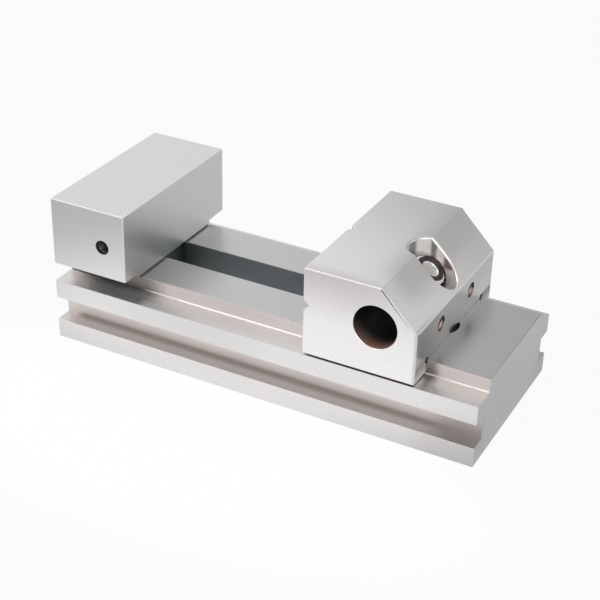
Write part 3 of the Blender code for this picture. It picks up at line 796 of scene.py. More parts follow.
@dataclass
class Body:
    """Bed, side grooves, ledges, slideway and fixed jaw, ground from one block."""

    datum: Datum
    finishes: Finishes
    flange_top: float = 8.1 * MM
    groove_top: float = 17.8 * MM
    groove_depth: float = 6.8 * MM
    undercut: float = 2.0 * MM
    relief_half: float = 0.45 * MM
    relief_depth: float = 0.7 * MM
    slot_width: float = 15.2 * MM
    slot_rear: float = 65.96 * MM
    channel_front: float = -68.7 * MM
    channel_rear: float = 69.0 * MM
    channel_half: float = 16.0 * MM
    channel_roof: float = 19.0 * MM
    notch_radius: float = 6.3 * MM
    notch_opening: float = 9.0 * MM
    notch_pitch: float = 10.75 * MM
    notch_seat: Point = (20.75 * MM, 14.59 * MM)
    notch_span: tuple[int, int] = (-7, 2)
    stop_hole: Point = (-66.0 * MM, 46.0 * MM)
    stop_radius: float = 2.8 * MM
    stop_depth: float = 12.0 * MM
    stop_sink: float = 0.15 * MM
    stop_thread: Thread = Thread(2.45 * MM, 2.74 * MM, MM, -11.0 * MM, -0.5 * MM, sides=48, steps=10)
    edge: float = 0.42 * MM
    way_edge: float = 0.24 * MM
    lower_edge: float = 0.2 * MM
    corner_round: float = 0.45 * MM

    def build(self) -> list[Item]:
        """Cut the block, thread its stop hole and put it in place."""
        datum = self.datum
        piece = Workpiece(self._block())
        piece.cut(self._relief(), self._slot(), self._channel(), self._stop_drill())
        piece.part(Axis.X, datum.fixed_face)
        self._dress(piece)
        high, top = datum.bed_top + MM, datum.bed_top
        piece.ease(self.edge, 3, paint=1, where=lambda m: self._outer(m) and m.z > high)
        # The way's edge bevels get the recess finish's painted shade.
        piece.ease(self.way_edge, 2, paint=6, where=lambda m: self._outer(m) and abs(m.z - top) < TOUCH)
        piece.ease(self.lower_edge, 2, where=lambda m: self._outer(m) and m.z < top - 0.5 * MM)
        piece.ease(self.corner_round, 3, paint=8, inside=True, where=self._inner_corner)
        piece.join(self._stop_thread(), 5)
        own = self.finishes
        item = piece.finished("ground_vise_body", (
            own.bed, own.edge, own.milled_shaded_slot, own.way, own.shaded, own.shaded_stop_hole, own.shaded_recess, own.groove,
            own.corner, own.face))
        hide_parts("vise_body")
        return [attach(item, "base")]

    def _block(self) -> Mesh:
        """Bed and fixed jaw in one, their sections joined at the clamping face."""
        datum = self.datum
        half, web, side = datum.half_width, datum.half_width - self.groove_depth, datum.slideway_half
        shoulder = datum.bed_top + self.undercut
        bed = [(half, 0.0), (half, self.flange_top), (web, self.flange_top),
               (web, self.groove_top), (half, self.groove_top), (half, datum.ledge_top),
               (side, datum.ledge_top), (side, datum.bed_top)]
        jaw = [(side, datum.bed_top), (side, shoulder), (half, shoulder), (half, datum.jaw_top)]
        bed += [(-y, z) for y, z in reversed(bed)]
        jaw += [(-y, z) for y, z in reversed(jaw)]
        top = bed.index(jaw[0])
        whole = bed[:top] + jaw + bed[top + 2:]
        bm = bmesh.new()
        front = {p: bm.verts.new((-datum.half_length, *p)) for p in whole}
        face = {p: bm.verts.new((datum.fixed_face, *p)) for p in whole}
        rear = {p: bm.verts.new((datum.half_length, *p)) for p in bed}
        for a, b in zip(whole, whole[1:] + whole[:1]):
            bm.faces.new((front[a], front[b], face[b], face[a]))
        for a, b in zip(bed, bed[1:] + bed[:1]):
            bm.faces.new((face[a], face[b], rear[b], rear[a]))
        bm.faces.new([front[p] for p in whole])
        bm.faces.new([face[p] for p in jaw])
        bm.faces.new([rear[p] for p in bed])
        return bm

    def _relief(self) -> Mesh:
        """Grinding relief along the foot of the fixed jaw."""
        x, z = self.datum.fixed_face, self.datum.bed_top
        wide, deep = self.relief_half, self.relief_depth
        outline = [(x - wide, z - deep), (x + wide, z - deep), (x + wide, z + deep), (x - wide, z + deep)]
        return prism(outline, Axis.Y, -CUT_REACH, CUT_REACH)

    def _slot(self) -> Mesh:
        """Slot along the slideway for the draw screw."""
        front = self.datum.fixed_face + self.relief_half - self.slot_width / 2
        outline = obround(front, self.slot_rear, self.slot_width, 40)
        return prism(outline, Axis.Z, self.channel_roof - 3 * MM, self.datum.bed_top + self.relief_depth / 2)

    def _channel(self) -> Mesh:
        """Channel under the bed, with the notches in its roof that the nut hooks into."""
        half_angle = math.degrees(math.asin(self.notch_opening / 2 / self.notch_radius))
        outline = [(self.channel_rear, -MM), (self.channel_front, -MM),
                   (self.channel_front, self.channel_roof)]
        for k in range(self.notch_span[0], self.notch_span[1] + 1):
            centre = (self.notch_seat[0] + k * self.notch_pitch, self.notch_seat[1])
            outline += arc(centre, self.notch_radius, 90 + half_angle, 90 - half_angle, 16)
        outline.append((self.channel_rear, self.channel_roof))
        bm = prism(outline, Axis.Y, -self.channel_half, self.channel_half)
        ends = (self.channel_front, self.channel_rear)
        uprights = []
        for edge in bm.edges:
            a, b = (vert.co for vert in edge.verts)
            level = abs(a.x - b.x) + abs(a.y - b.y)
            if level < 1e-6 and min(abs(a.x - x) for x in ends) < 1e-6:
                uprights.append(edge)
        bmesh.ops.bevel(bm, geom=uprights, offset=5 * MM, segments=10, profile=0.5, affect="EDGES")
        return bm

    def _stop_place(self) -> Place:
        """Middle of the stop hole's mouth."""
        return (self.stop_hole[0], -self.datum.half_width, self.stop_hole[1])

    def _from_stop(self, middle: Vector) -> float:
        """Distance from the stop hole's axis."""
        return math.hypot(middle.x - self.stop_hole[0], middle.z - self.stop_hole[1])

    def _stop_drill(self) -> Mesh:
        """Tapping drill for the work stop's screw, with a countersunk mouth."""
        radius, mouth, sink = self.stop_radius, self.stop_radius + self.stop_sink, self.stop_sink
        tip = -self.stop_depth - radius * DRILL_SLOPE
        profile = [(0.0, tip), (radius, -self.stop_depth), (radius, -sink),
                   (mouth, 0.0), (mouth + MM, MM), (0.0, MM)]
        return drill(profile, (0, -1, 0), self._stop_place())

    def _stop_thread(self) -> Workpiece:
        """Thread in the stop hole."""
        return thread_sleeve(self.stop_thread, self.stop_radius, (0, -1, 0), self._stop_place())

    def _outer(self, middle: Vector) -> bool:
        """Tell the outer and upper edges from those of the channel, the stop hole and the relief."""
        inside = abs(middle.y) < self.channel_half + MM and MM < middle.z < self.channel_roof + 3 * MM
        beside = abs(middle.x - self.datum.fixed_face) < MM
        reach = 2.5 * MM if abs(middle.y) < self.datum.slideway_half + BESIDE else MM
        foot = beside and abs(middle.z - self.datum.bed_top) < reach
        return not inside and not foot and self._from_stop(middle) > self.stop_radius + MM

    def _inner_corner(self, middle: Vector) -> bool:
        """Pick the corners between the ledges and the slideway's sides."""
        off = abs(abs(middle.y) - self.datum.slideway_half)
        return off < 0.01 * MM and middle.z < self.datum.bed_top - MM

    def _dress(self, piece: Workpiece) -> None:
        """Give the slideway, slot, channel, undercut and stop hole their own finishes."""
        datum = self.datum
        slot = self.slot_width / 2 + TOUCH
        shoulder = datum.bed_top + self.undercut

        def in_slot(middle: Vector, normal: Vector) -> bool:
            """Tell the slot's and the channel's walls."""
            low = abs(middle.y) < self.channel_half + TOUCH and 0.2 * MM < middle.z < 21.0 * MM
            high = abs(middle.y) < slot and middle.z < datum.bed_top - 0.3 * MM
            return (low or high) and abs(middle.x) < datum.half_length - MM and middle.z > 0.2 * MM

        def at_foot(middle: Vector, normal: Vector) -> bool:
            """Tell the grinding relief at the foot of the fixed jaw."""
            within = abs(middle.x - datum.fixed_face) < self.relief_half + BESIDE
            return within and abs(middle.z - datum.bed_top) < self.relief_depth + TOUCH

        def in_groove(middle: Vector, normal: Vector) -> bool:
            """Tell the side grooves' walls by how deep they lie."""
            deep = datum.half_width - self.groove_depth - BESIDE < abs(middle.y) < datum.half_width - BESIDE
            high = self.flange_top - BESIDE < middle.z < self.groove_top + BESIDE
            return deep and high and abs(normal.x) < 0.5

        def in_hole(middle: Vector, normal: Vector) -> bool:
            """Tell the stop hole by its distance from the hole's axis."""
            return self._from_stop(middle) < self.stop_radius + BESIDE and abs(normal.y) < 0.95

        # Painted shade: the way's top gets its darker finish here.
        piece.paint(3, lambda m, n: n.z > 0.9 and abs(m.z - datum.bed_top) < BESIDE)
        piece.paint(4, lambda m, n: n.z < -0.9 and abs(m.z - shoulder) < BESIDE)
        piece.paint(4, lambda m, n: abs(n.y) > 0.9 and abs(abs(m.y) - datum.slideway_half) < BESIDE
                    and datum.bed_top < m.z < shoulder)
        piece.paint(9, lambda m, n: n.x > 0.9 and abs(m.x - datum.fixed_face) < BESIDE)
        # The relief at the foot gets painted shade.
        piece.paint(6, at_foot)
        piece.paint(7, in_groove)
        # The slot and the channel get their painted shade.
        piece.paint(2, in_slot)
        # The stop hole gets its painted shade.
        piece.paint(5, in_hole)


@dataclass
class MovableJaw:
    """Jaw with its skirts, cross bore, screw pocket and work grooves."""

    datum: Datum
    finishes: Finishes
    side_inset: float = 0.2 * MM
    chamfer: float = 14.4 * MM
    skirt_foot: float = 26.1 * MM
    side_gap: float = 0.2 * MM
    roof_gap: float = 0.08 * MM
    corner_relief: float = 1.3 * MM
    groove_half: float = 2.1 * MM
    pocket_front: float = 44.5 * MM
    pocket_rear: float = 63.2 * MM
    pocket_width: float = 15.3 * MM
    pocket_floor: float = 44.5 * MM
    hole_radius: float = 3.0 * MM
    hole_thread: Thread = Thread(2.55 * MM, 2.92 * MM, MM, -2.2 * MM, -0.4 * MM, sides=48, steps=10)
    clamp_angle: float = math.radians(48.0)
    passage_half: float = 4.7 * MM
    edge: float = 0.5 * MM
    ridge: float = 0.12 * MM
    pocket_rim: float = 0.8 * MM

    def build(self) -> list[Item]:
        """Cut the jaw and put it in place."""
        datum = self.datum
        half = datum.half_width - self.side_inset
        outline = [(datum.jaw_face, self.skirt_foot), (datum.jaw_back, self.skirt_foot),
                   (datum.jaw_back, datum.jaw_top - self.chamfer),
                   (datum.jaw_back - self.chamfer, datum.jaw_top), (datum.jaw_face, datum.jaw_top)]
        piece = Workpiece(prism(outline, Axis.Y, -half, half))
        piece.cut(self._slideway(), *self._work_grooves(), self._bore(), self._passage(), self._pocket(),
                  *self._screw_holes())
        piece.part(Axis.Z, datum.bed_top + self.corner_relief)
        self._dress(piece)
        piece.ease(self.pocket_rim, 3, paint=6, where=self._rim)
        piece.ease(self.ridge, 2, where=self._ridge)
        piece.ease(self.edge, 3, paint=1, where=self._outer)
        piece.hold(datum.jaw_top)
        # The rim's painted highlight stays only on the far side, away from the pocket's front end; the rest
        # goes back to the jaw's finish.
        piece.repaint(6, 0, lambda m: m.y < 0.0 or m.x < self.pocket_front + 1.5 * MM)
        for side in (-1, 1):
            piece.join(self._hole_thread(side), 4)
        own = self.finishes
        item = piece.finished("ground_movable_jaw", (
            own.jaw, own.edge, own.bore, own.pocket, own.bronzed_hole, own.shaded_recess, own.rim, own.skirt_end))
        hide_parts("movable_jaw")
        return [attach(item, "jaw")]

    def _slideway(self) -> Mesh:
        """Room for the slideway, with a round relief in each corner."""
        datum = self.datum
        side, roof = datum.slideway_half + self.side_gap, datum.bed_top + self.roof_gap
        right = [(side, datum.ledge_top - MM)] + arc((side, roof), self.corner_relief, -90, 180, 30)
        left = [(-y, z) for y, z in reversed(right)]
        return prism(right + left, Axis.X, datum.jaw_face - MM, datum.jaw_back + MM)

    def _work_grooves(self) -> tuple[Mesh, Mesh]:
        """Two V-grooves for round work, across the face and up it."""
        face = self.datum.jaw_face
        apex, outside, mouth = face + self.groove_half, face - MM, self.groove_half + MM
        middle = (self.datum.bed_top + self.datum.jaw_top) / 2
        level = [(apex, middle), (outside, middle + mouth), (outside, middle - mouth)]
        across = prism(level, Axis.Y, -CUT_REACH, CUT_REACH)
        upright = prism([(apex, 0.0), (outside, mouth), (outside, -mouth)], Axis.Z, 0.02, 0.07)
        return across, upright

    def _bore(self) -> Mesh:
        """Cross bore right through the jaw, with a small countersink at each mouth."""
        radius, end = self.datum.bore_radius, self.datum.half_width - self.side_inset
        lead = 0.1 * MM
        profile = [(0.0, -end - MM), (radius + MM + lead, -end - MM), (radius, -end + lead),
                   (radius, end - lead), (radius + MM + lead, end + MM), (0.0, end + MM)]
        return drill(profile, (0, 1, 0), (self.datum.bore_x, 0, self.datum.bore_z), 128)

    def _passage(self) -> Mesh:
        """Fan-shaped way for the swinging screw, from the bore out under the jaw."""
        datum = self.datum
        start = datum.bore_radius / 2
        end = (datum.bore_z - datum.ledge_top) / math.sin(self.clamp_angle)
        outline = []
        walls = ((self.clamp_angle, -1, (start, end)), (datum.hang_angle, 1, (end, start)))
        for angle, side, reaches in walls:
            for reach in reaches:
                x = datum.bore_x - reach * math.cos(angle) + side * self.passage_half * math.sin(angle)
                z = datum.bore_z - reach * math.sin(angle) - side * self.passage_half * math.cos(angle)
                outline.append((x, z))
        return prism(outline, Axis.Y, -self.passage_half, self.passage_half)

    def _pocket(self) -> Mesh:
        """Milled pocket for the screw's head."""
        outline = obround(self.pocket_front, self.pocket_rear, self.pocket_width, 48)
        return prism(outline, Axis.Z, self.pocket_floor, self.datum.jaw_top + MM)

    def _hole_place(self, side: int) -> Place:
        """Middle of a tapped hole's mouth, on the near side (-1) or the far side (1)."""
        datum = self.datum
        return (datum.jaw_back, side * datum.hole_spread, datum.bore_z - datum.hole_drop)

    def _from_hole(self, middle: Vector) -> float:
        """Distance from the axis of the nearer tapped hole."""
        _, spread, height = self._hole_place(1)
        return math.hypot(abs(middle.y) - spread, middle.z - height)

    def _screw_holes(self) -> list[Mesh]:
        """Two tapped holes in the back face, from the bore out."""
        deep = self.datum.bore_x - self.datum.jaw_back
        profile = [(0.0, deep), (self.hole_radius, deep), (self.hole_radius, MM), (0.0, MM)]
        return [drill(profile, (1, 0, 0), self._hole_place(side)) for side in (-1, 1)]

    def _hole_thread(self, side: int) -> Workpiece:
        """Thread in the open end of a tapped hole, outside its set screw."""
        return thread_sleeve(self.hole_thread, self.hole_radius, (1, 0, 0), self._hole_place(side))

    def _rim(self, middle: Vector) -> bool:
        """Pick the pocket's upper edge, in the top and in the sloping face."""
        slope = middle.x + middle.z - (self.datum.jaw_back + self.datum.jaw_top - self.chamfer)
        surface = max(slope, middle.z - self.datum.jaw_top)
        within = abs(middle.y) < self.pocket_width / 2 + TOUCH
        return within and abs(surface) < TOUCH and middle.x > self.pocket_front - BESIDE

    def _ridge(self, middle: Vector) -> bool:
        """Pick the two long edges of the sloping face, and the mouths of the holes behind it."""
        datum = self.datum
        upper = abs(middle.x - datum.jaw_back + self.chamfer) < TOUCH and middle.z > datum.jaw_top - TOUCH
        lower = abs(middle.z - datum.jaw_top + self.chamfer) < TOUCH and middle.x > datum.jaw_back - TOUCH
        mouth = self._from_hole(middle) < self.hole_radius + MM and middle.x > datum.jaw_back - TOUCH
        return upper or lower or mouth

    def _outer(self, middle: Vector) -> bool:
        """Pick the outer edges, and leave the bore's mouths and the edges deep inside."""
        datum = self.datum
        if math.hypot(middle.x - datum.bore_x, middle.z - datum.bore_z) < datum.bore_radius + 0.5 * MM:
            return False
        if abs(middle.y) > datum.half_width - self.side_inset - MM:
            return True
        within = abs(middle.y) < datum.slideway_half + self.corner_relief + MM
        if within and middle.z < datum.bed_top + 2 * MM:
            return False
        return middle.x < datum.jaw_face + 2.3 * MM or middle.z < self.skirt_foot + TOUCH

    def _dress(self, piece: Workpiece) -> None:
        """Give the bore, the pocket and the tapped holes their own finishes."""
        datum = self.datum
        reach = datum.bore_radius + TOUCH

        def in_bore(middle: Vector, normal: Vector) -> bool:
            """Tell the bore's wall by its distance from the bore's axis."""
            away = math.hypot(middle.x - datum.bore_x, middle.z - datum.bore_z)
            return away < reach and abs(normal.y) < 0.5

        def in_pocket(middle: Vector, normal: Vector) -> bool:
            """Tell the pocket's upright wall and its floor."""
            within = abs(middle.y) < self.pocket_width / 2 + TOUCH
            reaches = self.pocket_front - BESIDE < middle.x < self.pocket_rear + BESIDE
            return within and reaches and middle.z > self.pocket_floor - BESIDE and abs(normal.z) < 0.1

        def in_hole(middle: Vector, normal: Vector) -> bool:
            """Tell a tapped hole by its distance from the hole's axis."""
            behind = middle.x > datum.bore_x + datum.bore_radius
            return behind and self._from_hole(middle) < self.hole_radius + TOUCH and abs(normal.x) < 0.5

        def in_corner(middle: Vector, normal: Vector) -> bool:
            """Tell the round reliefs in the upper corners of the slideway's room."""
            side, roof = datum.slideway_half + self.side_gap, datum.bed_top + self.roof_gap
            away = math.hypot(abs(middle.y) - side, middle.z - roof)
            return away < self.corner_relief + BESIDE and abs(normal.x) < 0.5

        # The skirt's end faces get their painted shade.
        piece.paint(7, lambda m, n: n.x > 0.9 and abs(m.y) > datum.slideway_half
                    and m.z < datum.bed_top + self.corner_relief)
        # The corner reliefs get painted shade.
        piece.paint(5, in_corner)
        piece.paint(3, in_pocket)
        piece.paint(2, in_bore)
        piece.paint(4, in_hole)


@dataclass
class DrawGear:
    """Half-round rocker, washer, tilted draw screw and round cross nut."""

    datum: Datum
    finishes: Finishes
    screw_radius: float = 4.0 * MM
    pitch: float = 1.25 * MM
    clearance: float = 0.7 * MM
    rocker_half: float = 11.8 * MM
    flat_drop: float = 1.3 * MM
    washer_radius: float = 7.5 * MM
    washer_base: float = -1.0 * MM
    washer_thickness: float = 1.6 * MM
    head_radius: float = 6.5 * MM
    head_base: float = 0.9 * MM
    head_height: float = 8.0 * MM
    head_chamfer: float = 0.9 * MM
    head_sides: int = 192
    knurl_depth: float = 0.06 * MM
    thread_depth: float = 0.72 * MM
    socket: float = 6.0 * MM
    socket_depth: float = 4.0 * MM
    screw_end: float = 49.12 * MM
    nut_radius: float = 6.0 * MM
    nut_half: float = 15.0 * MM
    nut_reach: float = 43.82 * MM

    def build(self) -> list[Item]:
        """Make the four pieces and put them on their bodies."""
        own = self.finishes
        dark = (own.oxide, own.worn_rim_and_highlight, own.socket_highlight)
        return [
            self._placed(self._rocker(), "turned_swivel_rocker", (own.turned,), "swivel_rocker", "rocker"),
            self._placed(self._washer(), "hardened_seat_washer", (own.washer,), "seat_washer", "rocker"),
            self._placed(self._screw(), "socket_head_draw_screw", dark, "draw_screw", "screw"),
            self._placed(self._nut(), "round_draw_nut", (own.turned,), "draw_nut", "nut")]

    def _placed(
        self, piece: Workpiece, name: str, finishes: Sequence[MetalFinish], node: str, body: str
    ) -> Item:
        """Finish a piece in the screw's frame and set it on its body.

        Args:
            piece: The cut piece.
            name: Its object's name.
            finishes: Its finishes.
            node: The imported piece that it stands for.
            body: The body that it moves with.

        Returns:
            The finished object.
        """
        item = piece.finished(name, finishes, self.datum.screw_place())
        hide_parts(node)
        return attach(item, body)

    def _rocker(self) -> Workpiece:
        """Half-round seat with a clearance hole for the screw."""
        radius = self.datum.bore_radius - self.datum.running_gap
        tilt = math.degrees(math.asin(self.flat_drop / radius))
        outline = arc((0.0, 0.0), radius, 180 + tilt, 360 - tilt, 56)
        hole = self.screw_radius + self.clearance
        drill = lathe([(0.0, -0.02), (hole, -0.02), (hole, 0.02), (0.0, 0.02)], 64)
        piece = Workpiece(prism(outline, Axis.Y, -self.rocker_half, self.rocker_half)).cut(drill)
        return piece.ease(0.2 * MM, 2)

    def _washer(self) -> Workpiece:
        """Hardened washer with rounded rims."""
        inner, outer, low = self.screw_radius + 0.3 * MM, self.washer_radius, self.washer_base
        high = low + self.washer_thickness
        piece = Workpiece(lathe([(inner, low), (outer, low), (outer, high), (inner, high)], 96))
        return piece.ease(0.25 * MM, 3)

    def _screw(self) -> Workpiece:
        """Cap screw with a knurled head, a hex socket and a rolled thread."""
        top, low = self.head_base + self.head_height, self.head_base
        radius, chamfer = self.head_radius, self.head_chamfer
        knurl_low, knurl_high = low + 0.9 * MM, top - chamfer - 0.8 * MM
        steps = 6
        side = [(radius, knurl_low + (knurl_high - knurl_low) * i / steps) for i in range(steps + 1)]
        foot, margin = 0.25 * MM, 0.15 * MM
        profile = [(0.0, low), (radius - foot, low), (radius, low + foot), (radius, knurl_low - margin),
                   *side, (radius, knurl_high + margin), (radius, top - chamfer), (radius - chamfer, top),
                   (0.0, top)]

        def knurl(number: int, z: float) -> float:
            """Straight knurl: every fourth facet's groove."""
            if not knurl_low <= z <= knurl_high:
                return 0.0
            return -self.knurl_depth * (1 - math.cos(math.pi / 2 * number))

        head = Workpiece(lathe(profile, self.head_sides, knurl))
        rim = self.socket / 2 / math.cos(math.pi / 6) + 0.1 * MM
        lead_in = lathe([(0.0, top - 0.4 * MM), (rim - 0.5 * MM, top - 0.4 * MM), (rim, top + 0.1 * MM),
                         (0.0, top + 0.1 * MM)], 64)
        head.cut(hex_key_tool(self.socket, self.socket_depth, top, MM), lead_in)
        highlight_ring_inner = radius - chamfer - TOUCH
        # Painted highlight on the head's chamfer ring and the socket's lead-in; wear on the bearing face
        # under the head.
        head.paint(1, lambda m, n: m.z > top - chamfer - BESIDE and m.xy.length > highlight_ring_inner)
        # The socket's walls get the painted highlight.
        head.paint(2, lambda m, n: low < m.z < top - TOUCH and m.xy.length < rim + TOUCH)
        head.paint(1, lambda m, n: m.z > top - 0.6 * MM and 0.2 < n.z < 0.95 and m.xy.length < rim + 0.2 * MM)
        head.paint(1, lambda m, n: m.z < low + 0.3 * MM)

        thread = Thread(self.screw_radius, self.screw_radius - self.thread_depth, self.pitch,
                        -self.screw_end + 0.75 * MM, low - 12 * MM)
        tip = thread.root - 0.35 * MM
        shank = self.screw_radius
        outline = [(0.0, -self.screw_end), (tip, -self.screw_end), *thread.profile(),
                   (shank, thread.end + 0.6 * MM), (shank, low - 0.5 * MM),
                   (shank + 0.25 * MM, low - 0.12 * MM), (shank + 0.5 * MM, low + 0.1 * MM),
                   (0.0, low + 0.1 * MM)]
        return head.join(Workpiece(lathe(outline, thread.sides, thread.ripple)))

    def _nut(self) -> Workpiece:
        """Round nut that lies across the channel, with a countersunk cross hole."""
        radius, half = self.nut_radius, self.nut_half
        blank = Workpiece(lathe([(0.0, -half), (radius, -half), (radius, half), (0.0, half)], 96))
        blank.lay((0, 1, 0), (0.0, 0.0, -self.nut_reach))
        hole = self.screw_radius + 0.3 * MM
        drill = lathe([(0.0, -0.01), (hole, -0.01), (hole, 0.01), (0.0, 0.01)], 64)
        bmesh.ops.translate(drill, vec=(0.0, 0.0, -self.nut_reach), verts=drill.verts)
        blank.ease(0.7 * MM, 3)
        return blank.cut(drill).ease(0.15 * MM, 2)


@dataclass
class SetScrews:
    """The two dog-point screws that keep the rocker in the middle of its bore."""

    datum: Datum
    finishes: Finishes
    radius: float = 2.7 * MM
    length: float = 10.0 * MM
    pitch: float = 1.0 * MM
    start_x: float = 52.22 * MM
    dog_radius: float = 2.0 * MM
    dog_length: float = 3.4 * MM
    socket: float = 3.0 * MM
    socket_depth: float = 3.0 * MM

    def build(self) -> list[Item]:
        """Make both screws and set them in the jaw."""
        datum, made = self.datum, []
        for side, label in ((-1, "near"), (1, "far")):
            start = (self.start_x, side * datum.hole_spread, datum.bore_z - datum.hole_drop)
            place = Matrix.Translation(start) @ Matrix.Rotation(math.pi / 2, 4, "Y")
            item = self._screw().finished(f"dog_point_screw_{label}", (self.finishes.bronzed,), place)
            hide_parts(f"rocker_set_screw_{label}")
            made.append(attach(item, "jaw"))
        return made

    def _screw(self) -> Workpiece:
        """One screw: dog, thread, chamfered end and hex socket."""
        root = self.radius - 0.45 * MM
        thread = Thread(
            self.radius, root, self.pitch, self.dog_length + 0.7 * MM, self.length - 0.35 * MM, sides=48)
        dog, end = self.dog_radius, self.length
        outline = [(0.0, 0.0), (dog - 0.3 * MM, 0.0), (dog, 0.3 * MM), (dog, self.dog_length),
                   *thread.profile(), (root, end - 0.2 * MM), (root - 0.2 * MM, end), (0.0, end)]
        piece = Workpiece(lathe(outline, thread.sides, thread.ripple))
        return piece.cut(hex_key_tool(self.socket, self.socket_depth, end, MM))


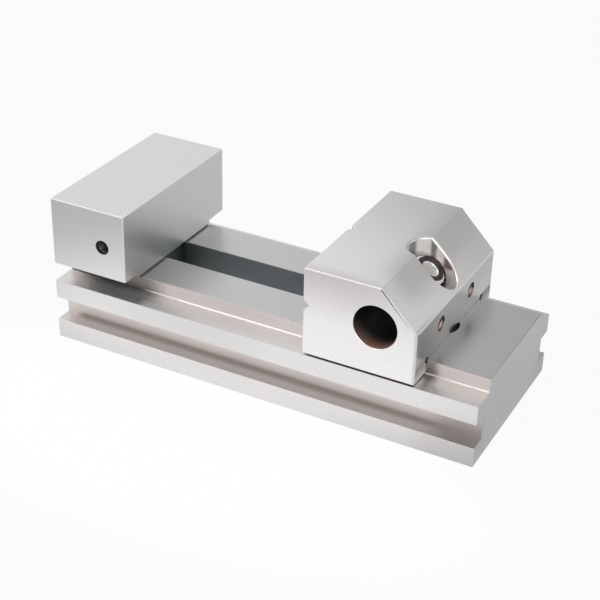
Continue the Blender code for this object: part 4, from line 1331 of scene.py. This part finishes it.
@dataclass
class Studio:
    """Plain pale floor, soft lamps and the photograph's camera."""

    camera_place: Place = (0.21903, -0.42735, 0.30264)
    azimuth: float = 27.11
    elevation: float = 30.12
    roll: float = 1.54
    focal_pixels: float = 1429.2
    frame_pixels: float = 600.0
    sensor: float = 36.0
    floor_reach: float = 6.0
    floor_drop: float = 0.05 * MM
    covered: Point = (87.0 * MM, 34.5 * MM)
    # The paper's colour is a painted pool of light: pale round glow_centre and dark grey past glow_reach.
    glow_centre: Place = (-0.015, -0.074, 0.0)
    glow_reach: Point = (0.14, 0.062)
    camera_share: float = 0.95
    ray_shares: tuple[tuple[str, float], ...] = (("Is Glossy Ray", 0.42), ("Is Transmission Ray", 0.95))
    room: Colour = (0.47, 0.465, 0.46)
    horizon: Colour = (0.95, 0.95, 0.95)
    room_parts: tuple[tuple[Place, Point, Colour], ...] = (
        ((-0.96, 0.0, 0.29), (0.38, 0.52), (0.82, 0.82, 0.825)),
        ((0.94, 0.0, 0.34), (0.50, 0.64), (0.70, 0.695, 0.69)),
        ((-0.40, -0.77, 0.50), (0.70, 0.95), (0.90, 0.80, 0.77)))
    lamps: tuple[tuple[str, Place, float, float], ...] = (
        ("key_softbox", (-0.27, -0.14, 0.62), 0.4, 1.3),
        ("fill_softbox", (0.52, -0.53, 0.43), 0.5, 1.2))

    def build(self) -> None:
        """Set up the colours, the floor, the world, the lamps and the camera."""
        bpy.context.scene.view_settings.view_transform = "Standard"
        self._world()
        self._floor()
        for lamp in self.lamps:
            self._lamp(*lamp)
        self._camera()

    def _world(self) -> None:
        """Soft pale room: brighter up and to the left, warm at the front, white at the horizon."""
        world = bpy.data.worlds.new("studio_room")
        bpy.context.scene.world = world
        world.use_nodes = True
        graph = Graph(world.node_tree)
        direction = graph.add("TexCoord").outputs["Generated"]
        room: object = self.room
        for toward, span, colour in self.room_parts:
            room = graph.shade(graph.remap(graph.along(direction, toward), span), room, colour)
        level = graph.maths("ABSOLUTE", graph.along(direction, (0.0, 0.0, 1.0)))
        room = graph.shade(graph.remap(level, (0.06, 0.2), (1.0, 0.0)), room, self.horizon)
        light = graph.add("Background", {"Color": room, "Strength": 1.0})
        graph.add("OutputWorld", {"Surface": light.outputs[0]})

    def _floor(self) -> None:
        """Pale floor just under the base: white to the camera but for a faint shadow."""
        mesh = bpy.data.meshes.new("studio_floor")
        reach = self.floor_reach
        square = ((-reach, -reach), (reach, -reach), (reach, reach), (-reach, reach))
        corners = [(x, y, -self.floor_drop) for x, y in square]
        mesh.from_pydata(corners, [], [(0, 1, 2, 3)])
        mesh.materials.append(self._paper())
        floor = shown_object("studio_floor", mesh)

    def _paper(self) -> bpy.types.Material:
        """Paper that the camera sees as white, but for what lies under the vise; its colour is a painted pool
        of light that the steel reflects.
        """
        material = bpy.data.materials.new("pale_paper")
        material.use_nodes = True
        graph = Graph(material.node_tree)
        position = graph.add("TexCoord").outputs["Object"]
        shifted = graph.vector("SUBTRACT", position, self.glow_centre)
        inverse = (1 / self.glow_reach[0], 1 / self.glow_reach[1], 0.0)
        far = graph.remap(graph.length(graph.vector("MULTIPLY", shifted, inverse)), (0.5, 1.2))
        # Painted pool of light: pale near the glow's centre, dark grey further off.
        paper = graph.shade(far, (0.98, 0.98, 0.98), (0.20, 0.20, 0.205))
        cloud = graph.remap(graph.noise(position, 6.0, 2.0), NOISE_SPAN, (0.0, 0.04))
        lit = graph.add("BsdfDiffuse", {"Color": graph.shade(cloud, paper, (0.8, 0.8, 0.8))})
        white = graph.add("Emission", {"Strength": 1.0})
        rays = graph.add("LightPath").outputs
        sides = zip(graph.split(graph.vector("ABSOLUTE", position)), self.covered)
        beyond = graph.maths("MAXIMUM", *(graph.maths("GREATER_THAN", *side) for side in sides))
        share = graph.maths("MULTIPLY", rays["Is Camera Ray"], beyond)
        share = graph.maths("MULTIPLY", share, self.camera_share)
        for name, part in self.ray_shares:
            share = graph.maths("ADD", share, graph.maths("MULTIPLY", rays[name], part))
        mix = graph.add("MixShader", {0: share, 1: lit.outputs[0], 2: white.outputs[0]})
        graph.add("OutputMaterial", {"Surface": mix.outputs[0]})
        return material

    def _lamp(self, name: str, place: Place, size: float, power: float) -> None:
        """Hang a square softbox that faces the vise.

        Args:
            name: The lamp's name.
            place: Its middle.
            size: Its side.
            power: Its power in watts.
        """
        data = bpy.data.lights.new(name, "AREA")
        data.size = size
        data.energy = power
        lamp = shown_object(name, data)
        lamp.location = place
        lamp.rotation_euler = (-Vector(place)).to_track_quat("-Z", "Y").to_euler()

    def _camera(self) -> None:
        """Stand the camera where the photograph was taken from."""
        az, el, roll = (math.radians(v) for v in (self.azimuth, self.elevation, self.roll))
        back = Vector((math.sin(az) * math.cos(el), -math.cos(az) * math.cos(el), math.sin(el)))
        right = Vector((0.0, 0.0, 1.0)).cross(back).normalized()
        up = back.cross(right)
        across = right * math.cos(roll) + up * math.sin(roll)
        upward = up * math.cos(roll) - right * math.sin(roll)
        data = bpy.data.cameras.new("camera")
        data.sensor_fit = "HORIZONTAL"
        data.sensor_width = self.sensor
        data.lens = self.focal_pixels / self.frame_pixels * self.sensor
        data.clip_start = 0.01
        data.clip_end = 30.0
        camera = shown_object("camera", data)
        turn = Matrix((across, upward, back)).transposed().to_4x4()
        camera.matrix_world = Matrix.Translation(self.camera_place) @ turn
        bpy.context.scene.camera = camera


def main() -> None:
    """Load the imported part, make every piece of it anew and light it."""
    logging.basicConfig(level=logging.INFO, format="%(name)s: %(message)s")
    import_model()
    datum, finishes = Datum(), Finishes()
    for assembly in (Body(datum, finishes), MovableJaw(datum, finishes), DrawGear(datum, finishes),
                     SetScrews(datum, finishes)):
        for item in assembly.build():
            log.info("%s: %d faces", item.name, len(item.data.polygons))
    Studio().build()


if __name__ == "__main__":
    main()
